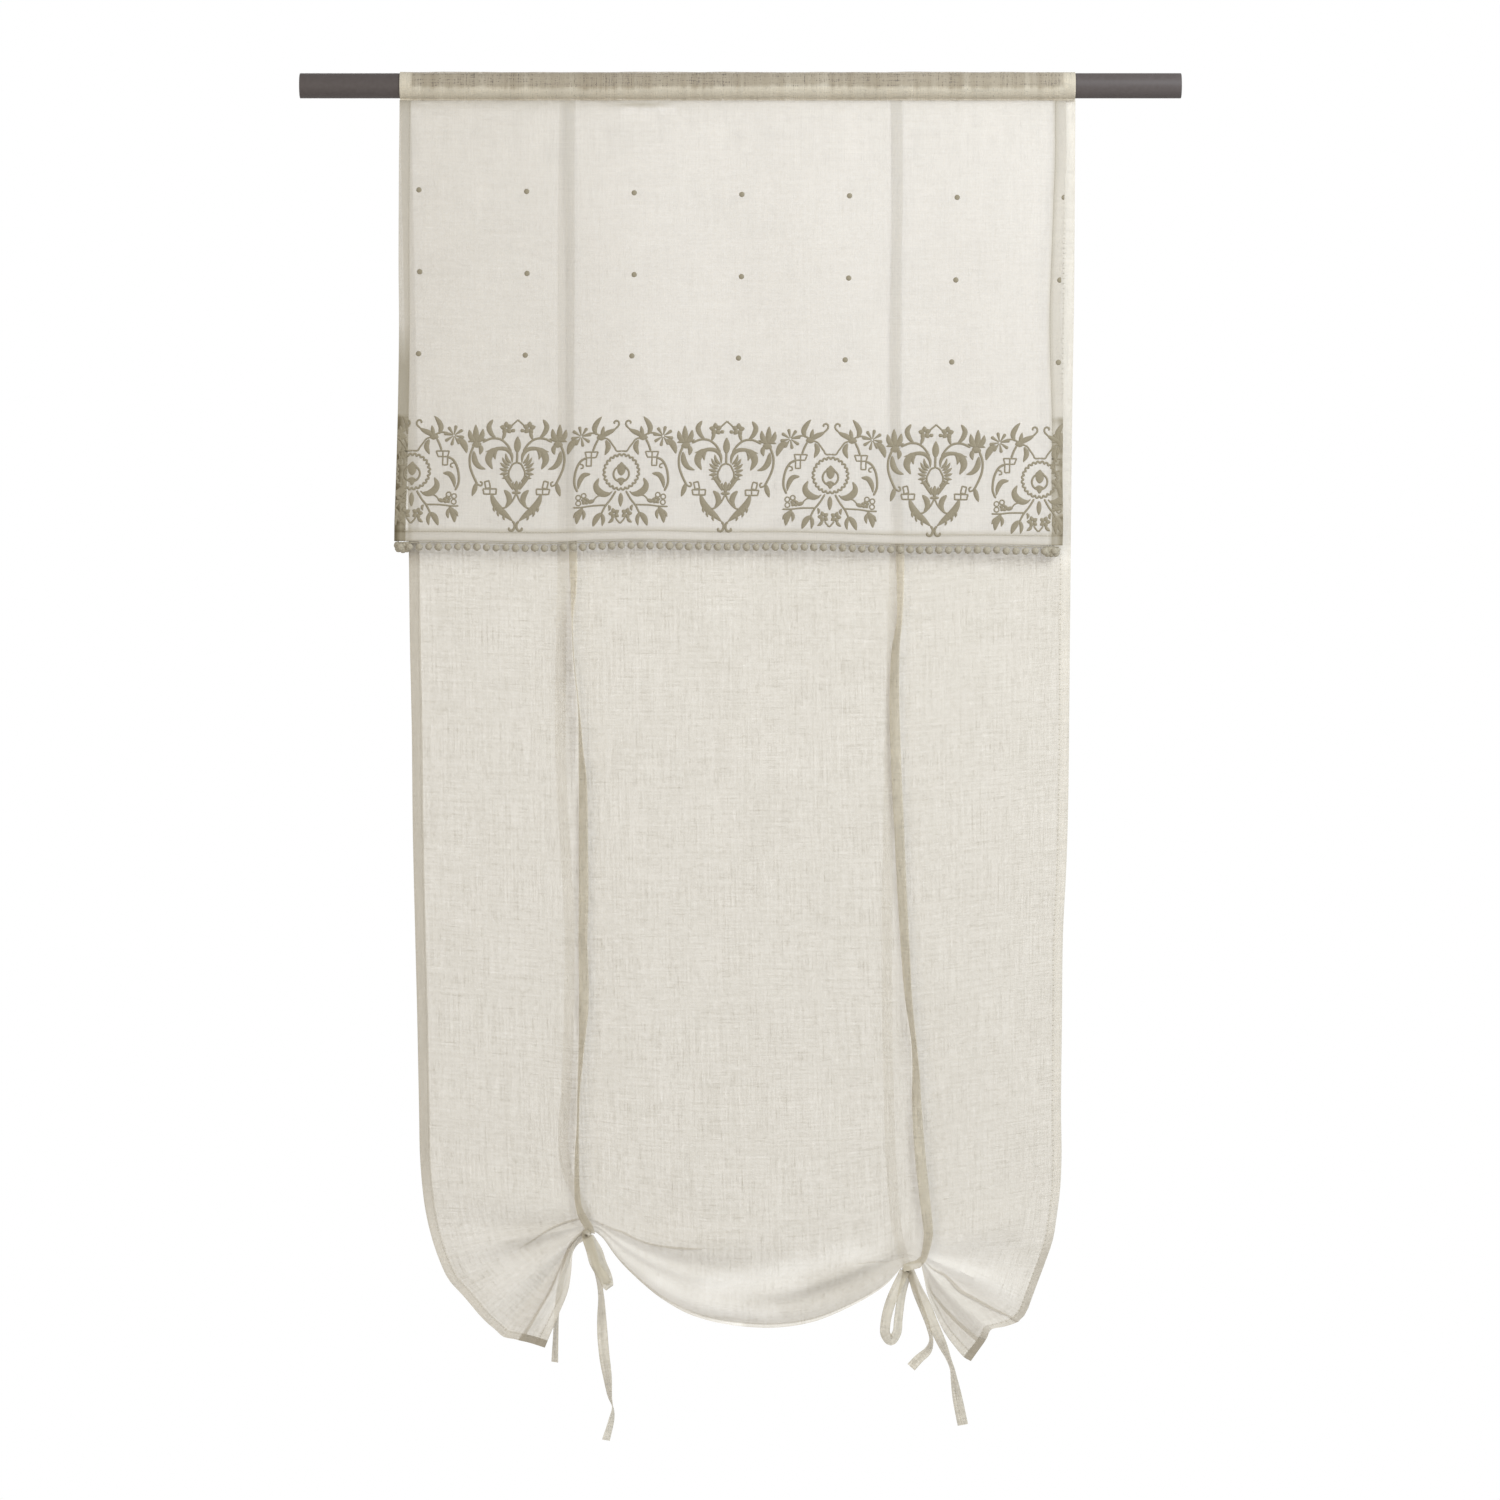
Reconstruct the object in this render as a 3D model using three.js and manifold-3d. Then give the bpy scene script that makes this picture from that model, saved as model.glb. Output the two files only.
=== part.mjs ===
// A sheer cafe curtain on a plain round rod, tied up in two places.
// Millimetres. X runs to the right and Z up, and the front of the curtain faces -Y.
// The origin lies on the rod's axis, halfway along the rod.

import * as THREE from 'three';
import Module from 'manifold-3d';
import { mergeVertices } from 'three/addons/utils/BufferGeometryUtils.js';

const wasm = await Module();
wasm.setup();

// Rod
const rodDiameter = 26;
const rodLength = 914;
const rodFacets = 48;

// Cloth, as cut and sewn
const clothWidth = 700;
const clothMiddle = -3; // the cloth hangs a little left of the rod's middle
const clothDrop = 1372; // from the heading's seam to the bottom hem
const clothThickness = 1;
const pieceGap = 0.3; // sewn pieces lie this far apart

// Heading, a pocket round the rod with its seam below
const pocketWall = 1.2;
const seamDepth = 5;
const seamHeight = 3;
const seamMiddleY = -0.65;
const pocketFacets = 24;

// Layers sewn into the seam, by the place of their middles behind each other
const layerY = { valance: -2.6, frontTie: -1.3, panel: 0, backTie: 1.3 };

// Valance, the short front layer
const valanceDrop = 455;
const valanceForward = 9; // it hangs this far in front of its own top edge
const valanceWave = 1.5;
const valanceWaveCount = 3.5;
const valanceColumns = 22;
const valanceRows = 10;

// Pompom trim under the valance
const trimHeight = 2.2;
const trimThickness = 2;
const pompomDiameter = 9;
const pompomCount = 57;
const pompomSink = 1.2; // how far each pompom's top reaches into the strip

// Ties, flat tapes sewn from the curtain's own cloth
const tapeWidth = 11;
const tapeThickness = 1;

// Where the ties hold the panel: along the cloth's width, and where the hem is lifted to
const leftHold = { across: 0.258, topX: -171, knotX: -160, knotZ: -1178, gather: 9 };
const rightHold = { across: 0.735, topX: 163, knotX: 187, knotZ: -1206, gather: 10 };
const gatherSoftness = 12; // length over which the cloth begins to bunch

// Grid of the main panel
const wingColumns = 10;
const swagColumns = 18;
const panelRowBands = [
  { to: 960, rows: 7 },
  { to: 1120, rows: 5 },
  { to: clothDrop, rows: 20 },
];

const rodRadius = rodDiameter / 2;
const pocketInner = rodRadius + pieceGap;
const pocketOuter = pocketInner + pocketWall;
const seamBottom = -pocketOuter - seamHeight;
const clothTop = seamBottom - pieceGap;

// Outer edge of the left side hem, from the seam to the lower corner
const leftHemPath = [
  { x: -353.5, z: clothTop },
  { x: -350, z: -170 },
  { x: -346.5, z: -357 },
  { x: -344, z: -490 },
  { x: -343, z: -575 },
  { x: -341, z: -670 },
  { x: -340, z: -770 },
  { x: -338, z: -860 },
  { x: -335.5, z: -960 },
  { x: -333.5, z: -1060 },
  { x: -332.5, z: -1110 },
  { x: -330, z: -1142 },
  { x: -326.5, z: -1168 },
  { x: -320.5, z: -1194 },
  { x: -312, z: -1219 },
  { x: -303, z: -1238 },
  { x: -286, z: -1257 },
  { x: -266, z: -1280 },
  { x: -255, z: -1290 },
  { x: -246, z: -1298 },
  { x: -234, z: -1300 },
  { x: -225, z: -1302 },
  { x: -203, z: -1309 },
];

// Outer edge of the right side hem, from the seam to the lower corner
const rightHemPath = [
  { x: 347.5, z: clothTop },
  { x: 346, z: -222 },
  { x: 344, z: -350 },
  { x: 342.5, z: -492 },
  { x: 341.5, z: -600 },
  { x: 340, z: -741 },
  { x: 338, z: -810 },
  { x: 334.5, z: -880 },
  { x: 333.5, z: -969 },
  { x: 332.5, z: -1060 },
  { x: 333, z: -1114 },
  { x: 331.5, z: -1145 },
  { x: 328, z: -1172 },
  { x: 324, z: -1197 },
  { x: 318, z: -1215 },
  { x: 309.5, z: -1238 },
  { x: 301.5, z: -1259 },
  { x: 297, z: -1271 },
  { x: 290, z: -1281 },
  { x: 275, z: -1287 },
  { x: 260, z: -1290 },
  { x: 255, z: -1300 },
  { x: 239, z: -1323 },
];

// Bottom hem between the ties: how far it hangs below the straight line between them
const swagDrops = [
  { at: 0, drop: 0 },
  { at: 0.02, drop: -3 },
  { at: 0.05, drop: 6 },
  { at: 0.08, drop: 19 },
  { at: 0.11, drop: 30 },
  { at: 0.15, drop: 43 },
  { at: 0.19, drop: 55 },
  { at: 0.23, drop: 64 },
  { at: 0.3, drop: 76.5 },
  { at: 0.38, drop: 84 },
  { at: 0.47, drop: 87 },
  { at: 0.55, drop: 86 },
  { at: 0.63, drop: 80.5 },
  { at: 0.7, drop: 73 },
  { at: 0.78, drop: 59.5 },
  { at: 0.85, drop: 45 },
  { at: 0.9, drop: 30.5 },
  { at: 0.95, drop: 12 },
  { at: 1, drop: 0 },
];
const swagStart = 960; // the rows begin to sag this far down the cloth

// Folds that fan out from the ties, a row each: the place along the cloth's length,
// the width of the fold there, how far it stands forward, and how much of it is left
// at the outer hem
const leftFolds = [
  { down: 1150, width: 26, forward: 7, atHem: 0.2 },
  { down: 1215, width: 16, forward: 10, atHem: 0.1 },
  { down: 1252, width: 18, forward: -4, atHem: 0.3 },
  { down: 1290, width: 16, forward: 7, atHem: 0.5 },
  { down: 1322, width: 9, forward: -6, atHem: 0.6 },
  { down: 1345, width: 8, forward: 6, atHem: 1 },
];
const rightFolds = [
  { down: 1185, width: 28, forward: 6, atHem: 0.2 },
  { down: 1245, width: 16, forward: -4, atHem: 0.3 },
  { down: 1275, width: 12, forward: 8, atHem: 0.4 },
  { down: 1303, width: 12, forward: -4, atHem: 0.6 },
  { down: 1330, width: 9, forward: 8, atHem: 0.9 },
  { down: 1362, width: 12, forward: -3, atHem: 0.7 },
];
// Folds of the swag between the ties: where each lies along the cloth's length at its
// left and right end, and the part of the swag's width where it is fullest
const swagFolds = [
  { leftDown: 1110, rightDown: 1130, width: 50, forward: 4, at: 0.5, spread: 0.4 },
  { leftDown: 1190, rightDown: 1130, width: 24, forward: 10, at: 0.25, spread: 0.25 },
  { leftDown: 1250, rightDown: 1250, width: 24, forward: 4, at: 0.15, spread: 0.2 },
  { leftDown: 1390, rightDown: 1180, width: 34, forward: 11, at: 0.72, spread: 0.25 },
  { leftDown: 1330, rightDown: 1330, width: 30, forward: 6, at: 0.45, spread: 0.4 },
];
// Bottom hem of each wing: how far it stands to the right of the straight line between
// the tie and the corner, a row for each place out from the tie
const leftWingEdge = [
  { out: 0, bow: 0 },
  { out: 0.06, bow: -6.5 },
  { out: 0.2, bow: -6 },
  { out: 0.33, bow: -1.5 },
  { out: 0.5, bow: 2.5 },
  { out: 0.7, bow: 1.7 },
  { out: 1, bow: 0 },
];
const rightWingEdge = [
  { out: 0, bow: 0 },
  { out: 0.13, bow: -4 },
  { out: 0.28, bow: -8.5 },
  { out: 0.47, bow: -10.5 },
  { out: 0.65, bow: -11 },
  { out: 0.8, bow: -8.5 },
  { out: 0.94, bow: -4.5 },
  { out: 1, bow: 0 },
];
const wingEdgeStart = 1290; // the rows take up that shape from here down the cloth

// Outline of the valance, from the seam down
const valanceEdges = [
  { down: 0, left: -353.5, right: 337.5 },
  { down: 100, left: -354, right: 334.5 },
  { down: 205, left: -354, right: 331.5 },
  { down: 250, left: -354.5, right: 329 },
  { down: 310, left: -357, right: 332 },
  { down: 350, left: -358, right: 334 },
  { down: 410, left: -358.5, right: 334 },
  { down: 455, left: -358.5, right: 332 },
];

// The four ties, each from the seam down to its knot: the tape's middle, and how far
// its flat side is turned away from the front, in degrees
const frontTieLeft = [
  { x: -171.5, y: layerY.frontTie, z: clothTop, turn: 0 },
  { x: -172, y: -3, z: -120, turn: 4 },
  { x: -172, y: -3.5, z: -430, turn: 6 },
  { x: -171.5, y: -4, z: -500, turn: 18 },
  { x: -169, y: -8, z: -590, turn: 70 },
  { x: -168, y: -8, z: -640, turn: 70 },
  { x: -165, y: -7, z: -715, turn: 22 },
  { x: -163, y: -6, z: -830, turn: 10 },
  { x: -163.5, y: -7, z: -950, turn: 28 },
  { x: -168, y: -8, z: -1036, turn: 66 },
  { x: -168, y: -8, z: -1090, turn: 60 },
  { x: -167, y: -8, z: -1142, turn: 45 },
  { x: -163, y: -5.5, z: -1170, turn: 30 },
  { x: -160, y: -4, z: -1187.8, turn: 20 },
];
const frontTieRight = [
  { x: 163, y: layerY.frontTie, z: clothTop, turn: 0 },
  { x: 161, y: -3, z: -120, turn: 5 },
  { x: 158, y: -4.5, z: -470, turn: 12 },
  { x: 159, y: -6, z: -637, turn: 30 },
  { x: 161.5, y: -6, z: -730, turn: 25 },
  { x: 166, y: -6, z: -825, turn: 20 },
  { x: 172, y: -7, z: -920, turn: 30 },
  { x: 178.5, y: -8, z: -1000, turn: 60 },
  { x: 183.5, y: -8, z: -1060, turn: 30 },
  { x: 188, y: -8, z: -1107, turn: 25 },
  { x: 193, y: -8, z: -1154, turn: 25 },
  { x: 193.5, y: -7.5, z: -1190, turn: 30 },
  { x: 189.5, y: -6.5, z: -1211, turn: 30 },
  { x: 180, y: -2.8, z: -1228.6, turn: 15 },
];
const backTieLeft = [
  { x: -180, y: layerY.backTie, z: clothTop, turn: 0 },
  { x: -180, y: 4, z: -120, turn: 0 },
  { x: -181, y: 5, z: -480, turn: 0 },
  { x: -185, y: 5, z: -620, turn: 20 },
  { x: -181, y: 5, z: -800, turn: 35 },
  { x: -180, y: 5, z: -1000, turn: 30 },
  { x: -179, y: 5, z: -1130, turn: 25 },
  { x: -168, y: 5, z: -1165, turn: 20 },
  { x: -159, y: 3, z: -1188, turn: 10 },
];
const backTieRight = [
  { x: 161, y: layerY.backTie, z: clothTop, turn: 0 },
  { x: 161, y: 4, z: -120, turn: 0 },
  { x: 160, y: 5, z: -480, turn: 5 },
  { x: 156, y: 5, z: -640, turn: 15 },
  { x: 154, y: 5, z: -800, turn: 15 },
  { x: 155, y: 5, z: -1000, turn: 15 },
  { x: 160, y: 5, z: -1130, turn: 15 },
  { x: 170, y: 6, z: -1185, turn: 20 },
  { x: 174, y: 5, z: -1225, turn: 20 },
];
const tieSteps = 40;

// Bows. Each knot is a small ellipsoid, and the loop and the free ends are measured
// from its middle.
const leftKnot = { x: -158.5, y: -3, z: -1194, wide: 11, deep: 11, high: 11 };
const leftBowTapes = {
  loop: [
    { x: 0, y: -2, z: -1, turn: 10 },
    { x: 4, y: -5, z: -16, turn: 15 },
    { x: 7, y: -6, z: -29, turn: 10 },
    { x: 17, y: -5, z: -44, turn: 5 },
    { x: 22.5, y: -2.5, z: -53.5, turn: 0 },
    { x: 21.5, y: 0.5, z: -45, turn: 0 },
    { x: 14.5, y: 1.5, z: -29, turn: 5 },
    { x: 10.5, y: 1.5, z: -17, turn: 5 },
    { x: 1, y: 1, z: -1, turn: 0 },
  ],
  longEnd: [
    { x: 0, y: 2, z: -2, turn: 0 },
    { x: 7, y: 5, z: -25, turn: 45 },
    { x: 12.5, y: 5, z: -48, turn: 60 },
    { x: 15, y: 4, z: -66, turn: 55 },
    { x: 15.5, y: 4, z: -86, turn: 32 },
    { x: 16.5, y: 3, z: -107, turn: 8 },
    { x: 18.5, y: 2, z: -128, turn: 12 },
    { x: 21.5, y: 1.5, z: -148, turn: 35 },
    { x: 24, y: 1, z: -168, turn: 66 },
    { x: 27, y: 0, z: -180, turn: 92 },
    { x: 26, y: 0, z: -191, turn: 118 },
    { x: 20, y: 0, z: -213.5, turn: 136 },
  ],
  shortEnd: [
    { x: -1, y: 4, z: 0, turn: 30 },
    { x: -14, y: 11, z: -11, turn: 50 },
    { x: -25, y: 14, z: -42, turn: 55 },
    { x: -31.5, y: 14, z: -82, turn: 62 },
    { x: -32.5, y: 13, z: -106, turn: 60 },
    { x: -33.5, y: 13, z: -134, turn: 50 },
  ],
};
const rightKnot = { x: 173, y: 3.5, z: -1230, wide: 12, deep: 10, high: 9 };
const rightBowTapes = {
  loop: [
    { x: -2, y: -2, z: -1, turn: 20 },
    { x: -12, y: -5, z: -19, turn: 18 },
    { x: -16.5, y: -6, z: -30, turn: 14 },
    { x: -20, y: -6, z: -42, turn: 12 },
    { x: -22.5, y: -6, z: -57, turn: 10 },
    { x: -22, y: -5, z: -67, turn: 10 },
    { x: -17, y: -2, z: -74, turn: 10 },
    { x: -11.5, y: 1, z: -66, turn: 12 },
    { x: -9.5, y: 2, z: -50, turn: 15 },
    { x: -5, y: 1.5, z: -25, turn: 30 },
    { x: 1, y: 1, z: -1, turn: 30 },
  ],
  longEnd: [
    { x: 3, y: -2, z: -1, turn: 30 },
    { x: 12, y: -6, z: -20, turn: 35 },
    { x: 20, y: -8, z: -37, turn: 10 },
    { x: 28, y: -9, z: -57, turn: 10 },
    { x: 36.5, y: -10, z: -76, turn: 32 },
    { x: 43, y: -10, z: -91, turn: 62 },
    { x: 47, y: -10, z: -102, turn: 66 },
    { x: 49, y: -9, z: -113, turn: 52 },
    { x: 52.5, y: -8, z: -133, turn: 25 },
    { x: 55.5, y: -7, z: -148, turn: 15 },
    { x: 58, y: -7, z: -160, turn: 12 },
  ],
  shortEnd: [
    { x: 3, y: 2, z: -2, turn: 60 },
    { x: 9, y: 4, z: -23, turn: 60 },
    { x: 17, y: 4, z: -44, turn: 65 },
    { x: 23, y: 4, z: -61, turn: 70 },
    { x: 25.5, y: 3, z: -74, turn: 72 },
    { x: 22, y: 2, z: -84, turn: 50 },
    { x: 12.5, y: 1, z: -92.5, turn: 35 },
    { x: 4.5, y: 0, z: -101, turn: 30 },
  ],
};
const loopSteps = 22;
const endSteps = 20;
const knotFacets = 12;

// Smooth curve through a table's rows, read off by one column
function readTable(table, key, value, column) {
  const last = table.length - 1;
  let i = 0;
  while (i < last - 1 && table[i + 1][key] < value) i += 1;
  const slope = (k) => {
    const before = table[Math.max(k - 1, 0)];
    const after = table[Math.min(k + 1, last)];
    return (after[column] - before[column]) / (after[key] - before[key]);
  };
  const span = table[i + 1][key] - table[i][key];
  const t = THREE.MathUtils.clamp((value - table[i][key]) / span, 0, 1);
  const t2 = t * t;
  const t3 = t2 * t;
  return (
    (2 * t3 - 3 * t2 + 1) * table[i][column] +
    (t3 - 2 * t2 + t) * span * slope(i) +
    (3 * t2 - 2 * t3) * table[i + 1][column] +
    (t3 - t2) * span * slope(i + 1)
  );
}

// A bell of height 1 over its middle
function bell(value, middle, width) {
  return Math.exp(-(((value - middle) / width) ** 2));
}

// A curve through points given by a table of x, z and an optional y
function edgeCurve(path) {
  const points = path.map((row) => new THREE.Vector3(row.x, row.y ?? 0, row.z));
  const curve = new THREE.CatmullRomCurve3(points, false, 'centripetal');
  curve.arcLengthDivisions = 600;
  return curve;
}

const leftHemCurve = edgeCurve(leftHemPath);
const rightHemCurve = edgeCurve(rightHemPath);

// Line of the cloth that a tie runs down: straight to the knot, then bunched in it
function holdPoint(hold, down) {
  const free = clothTop - hold.knotZ;
  const reach = free - gatherSoftness * Math.log(1 + Math.exp((free - down) / gatherSoftness));
  const bunched = hold.gather * Math.max(0, (down - free) / (clothDrop - free));
  const share = reach / free;
  const x = THREE.MathUtils.lerp(hold.topX, hold.knotX, share ** 2);
  return new THREE.Vector3(x, 0, clothTop - reach - bunched);
}

// Forward push of a fan of folds: nothing at the tie, full a little way out
function wingRelief(folds, down, out) {
  let forward = 0;
  for (const fold of folds) {
    const rise = Math.sin(Math.min(out * 2.2, 1) * Math.PI / 2);
    const fade = THREE.MathUtils.lerp(1, fold.atHem, THREE.MathUtils.smoothstep(out, 0.45, 1));
    forward += fold.forward * bell(down, fold.down, fold.width) * rise * fade;
  }
  return forward;
}

function swagRelief(down, t) {
  const held = Math.sin(Math.PI * t) ** 0.6;
  let forward = 0;
  for (const fold of swagFolds) {
    const ridge = THREE.MathUtils.lerp(fold.leftDown, fold.rightDown, t);
    forward += fold.forward * bell(down, ridge, fold.width) * bell(t, fold.at, fold.spread);
  }
  return forward * held;
}

// A wing, the cloth between a tie and its side hem: out is 0 at the tie, 1 at the hem
function wingPoint(hold, hem, edge, folds, out, down) {
  const inner = holdPoint(hold, down);
  const outer = hem.getPointAt(down / clothDrop);
  const point = inner.clone().lerp(outer, out);
  const low = THREE.MathUtils.smoothstep(down, wingEdgeStart, clothDrop);
  const along = outer.sub(inner).normalize();
  const push = low * readTable(edge, 'out', out, 'bow');
  point.x -= along.z * push;
  point.z += along.x * push;
  point.y -= wingRelief(folds, down, out);
  return point;
}

function swagPoint(t, down) {
  const point = holdPoint(leftHold, down).lerp(holdPoint(rightHold, down), t);
  const sag = ((down - swagStart) / (clothDrop - swagStart)) ** 1.6 || 0;
  if (down > swagStart) point.z -= sag * readTable(swagDrops, 'at', t, 'drop');
  point.y -= swagRelief(down, t);
  return point;
}

// The main panel: across runs from the left hem to the right, down along the cloth
function panelPoint(across, down) {
  if (across <= leftHold.across) {
    const out = 1 - across / leftHold.across;
    return wingPoint(leftHold, leftHemCurve, leftWingEdge, leftFolds, out, down);
  }
  if (across >= rightHold.across) {
    const out = (across - rightHold.across) / (1 - rightHold.across);
    return wingPoint(rightHold, rightHemCurve, rightWingEdge, rightFolds, out, down);
  }
  const t = (across - leftHold.across) / (rightHold.across - leftHold.across);
  return swagPoint(t, down);
}

function valancePoint(across, down) {
  const left = readTable(valanceEdges, 'down', down, 'left');
  const right = readTable(valanceEdges, 'down', down, 'right');
  const hang = THREE.MathUtils.smoothstep(down, 0, 160);
  const wave = valanceWave * Math.sin(across * valanceWaveCount * 2 * Math.PI);
  const y = layerY.valance - hang * (valanceForward + wave);
  return new THREE.Vector3(THREE.MathUtils.lerp(left, right, across), y, clothTop - down);
}

// A closed sheet of even thickness over a grid of points
function sheetGeometry(acrossStops, downStops, pointAt, thickness) {
  const nu = acrossStops.length;
  const nv = downStops.length;
  const step = 1e-3;
  const positions = [];
  for (const side of [-0.5, 0.5]) {
    for (const down of downStops) {
      for (const across of acrossStops) {
        const a0 = Math.max(across - step, 0);
        const a1 = Math.min(across + step, 1);
        const d0 = Math.max(down - step * 1000, downStops[0]);
        const d1 = Math.min(down + step * 1000, downStops[nv - 1]);
        const alongWidth = pointAt(a1, down).sub(pointAt(a0, down));
        const alongLength = pointAt(across, d1).sub(pointAt(across, d0));
        const normal = alongWidth.cross(alongLength).normalize();
        const point = pointAt(across, down).addScaledVector(normal, side * thickness);
        positions.push(point.x, point.y, point.z);
      }
    }
  }
  const index = [];
  const quad = (a, b, c, d) => index.push(a, b, c, a, c, d);
  const back = nu * nv;
  for (let j = 0; j < nv - 1; j += 1) {
    for (let i = 0; i < nu - 1; i += 1) {
      const a = j * nu + i;
      quad(a, a + 1, a + 1 + nu, a + nu);
      quad(back + a, back + a + nu, back + a + 1 + nu, back + a + 1);
    }
  }
  for (let i = 0; i < nu - 1; i += 1) {
    const low = (nv - 1) * nu + i;
    quad(i, back + i, back + i + 1, i + 1);
    quad(low, low + 1, back + low + 1, back + low);
  }
  for (let j = 0; j < nv - 1; j += 1) {
    const left = j * nu;
    const right = j * nu + nu - 1;
    quad(left, left + nu, back + left + nu, back + left);
    quad(right, back + right, back + right + nu, right + nu);
  }
  const geometry = new THREE.BufferGeometry();
  geometry.setAttribute('position', new THREE.Float32BufferAttribute(positions, 3));
  geometry.setIndex(index);
  return facingOut(geometry);
}

// Turns a closed geometry's faces round where it is inside out
function facingOut(geometry) {
  const p = geometry.getAttribute('position');
  const index = geometry.getIndex();
  const [a, b, c] = [new THREE.Vector3(), new THREE.Vector3(), new THREE.Vector3()];
  let volume = 0;
  for (let i = 0; i < index.count; i += 3) {
    a.fromBufferAttribute(p, index.getX(i));
    b.fromBufferAttribute(p, index.getX(i + 1));
    c.fromBufferAttribute(p, index.getX(i + 2));
    volume += a.dot(b.cross(c));
  }
  if (volume < 0) {
    for (let i = 0; i < index.count; i += 3) {
      const first = index.getX(i);
      index.setX(i, index.getX(i + 1));
      index.setX(i + 1, first);
    }
  }
  return geometry;
}

// A flat tape along a table of points, each row with the turn of its flat side. Both
// broad sides are split along the same slant, so a twisted tape keeps its thickness.
function tapeGeometry(table, steps) {
  const curve = edgeCurve(table);
  const last = table.length - 1;
  const turns = table.map((row, i) => ({ at: i / last, turn: row.turn }));
  const front = new THREE.Vector3(0, -1, 0);
  const positions = [];
  for (let i = 0; i <= steps; i += 1) {
    const u = i / steps;
    const t = curve.getUtoTmapping(u);
    const centre = curve.getPoint(t);
    const tangent = curve.getTangent(t);
    const side = new THREE.Vector3().crossVectors(tangent, front).normalize();
    const turn = THREE.MathUtils.degToRad(readTable(turns, 'at', t, 'turn'));
    side.applyAxisAngle(tangent, turn);
    const face = new THREE.Vector3().crossVectors(side, tangent);
    for (const [s, f] of [[-1, -1], [1, -1], [1, 1], [-1, 1]]) {
      const corner = centre.clone()
        .addScaledVector(side, s * tapeWidth / 2)
        .addScaledVector(face, f * tapeThickness / 2);
      positions.push(corner.x, corner.y, corner.z);
    }
  }
  const index = [0, 1, 2, 0, 2, 3];
  const end = steps * 4;
  index.push(end, end + 2, end + 1, end, end + 3, end + 2);
  for (let i = 0; i < steps; i += 1) {
    for (let k = 0; k < 4; k += 1) {
      const a = i * 4 + k;
      const b = i * 4 + ((k + 1) % 4);
      if (k < 2) index.push(a, a + 4, b + 4, a, b + 4, b);
      else index.push(a, a + 4, b, b, a + 4, b + 4);
    }
  }
  const geometry = new THREE.BufferGeometry();
  geometry.setAttribute('position', new THREE.Float32BufferAttribute(positions, 3));
  geometry.setIndex(index);
  return facingOut(geometry);
}

// Geometry to solid and back, for joining
function toSolid(geometry) {
  const bare = geometry.clone();
  bare.deleteAttribute('normal');
  bare.deleteAttribute('uv');
  const merged = mergeVertices(bare, 1e-4);
  return new wasm.Manifold(new wasm.Mesh({
    numProp: 3,
    vertProperties: new Float32Array(merged.getAttribute('position').array),
    triVerts: new Uint32Array(merged.getIndex().array),
  }));
}

function joined(geometries) {
  let solid = toSolid(geometries[0]);
  for (const geometry of geometries.slice(1)) solid = solid.add(toSolid(geometry));
  const mesh = solid.getMesh();
  const result = new THREE.BufferGeometry();
  result.setAttribute('position', new THREE.BufferAttribute(new Float32Array(mesh.vertProperties), 3));
  result.setIndex(new THREE.BufferAttribute(new Uint32Array(mesh.triVerts), 1));
  return result;
}

function evenStops(from, to, count) {
  return Array.from({ length: count + 1 }, (_, i) => from + (to - from) * i / count);
}

function finish(color, roughness) {
  return new THREE.MeshStandardMaterial({ color, roughness, metalness: 0 });
}

const clothColor = '#dcd6ca';
const tapeColor = '#c9c0ad';
const curtain = new THREE.Group();

function addPiece(name, geometry, material) {
  geometry.computeVertexNormals();
  const mesh = new THREE.Mesh(geometry, material);
  mesh.name = name;
  curtain.add(mesh);
  return mesh;
}

// Rod
function makeRod() {
  const rod = addPiece(
    'rod',
    new THREE.CylinderGeometry(rodRadius, rodRadius, rodLength, rodFacets),
    finish('#635b58', 0.45),
  );
  rod.rotation.z = Math.PI / 2;
}

// Heading: a ring round the rod that runs out into the flat seam below it
function makeHeading() {
  const outline = new THREE.Shape();
  const seamBack = seamMiddleY + seamDepth / 2;
  const seamFront = seamMiddleY - seamDepth / 2;
  const from = -Math.PI / 2 + Math.asin(seamBack / pocketOuter);
  const to = 1.5 * Math.PI + Math.asin(seamFront / pocketOuter);
  outline.moveTo(seamBack, seamBottom);
  outline.absarc(0, 0, pocketOuter, from, to, false);
  outline.lineTo(seamFront, seamBottom);
  outline.closePath();
  const hole = new THREE.Path();
  hole.absarc(0, 0, pocketInner, 0, 2 * Math.PI, true);
  outline.holes.push(hole);
  const geometry = new THREE.ExtrudeGeometry(outline, {
    depth: clothWidth,
    bevelEnabled: false,
    curveSegments: pocketFacets,
  });
  const heading = addPiece('heading', geometry, finish('#bdb29f', 0.95));
  heading.rotation.set(Math.PI / 2, 0, Math.PI / 2, 'ZYX');
  heading.position.set(clothMiddle - clothWidth / 2, 0, 0);
}

function makePanel() {
  const middle = evenStops(leftHold.across, rightHold.across, swagColumns);
  const acrossStops = [
    ...evenStops(0, leftHold.across, wingColumns),
    ...middle.slice(1, -1),
    ...evenStops(rightHold.across, 1, wingColumns),
  ];
  const downStops = [0];
  for (const band of panelRowBands) {
    downStops.push(...evenStops(downStops.at(-1), band.to, band.rows).slice(1));
  }
  const geometry = sheetGeometry(acrossStops, downStops, panelPoint, clothThickness);
  addPiece('main_panel', geometry, finish(clothColor, 0.95));
}

function makeValance() {
  const acrossStops = evenStops(0, 1, valanceColumns);
  const downStops = evenStops(0, valanceDrop, valanceRows);
  const geometry = sheetGeometry(acrossStops, downStops, valancePoint, clothThickness);
  addPiece('valance', geometry, finish('#e6e1d7', 0.95));
}

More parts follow.
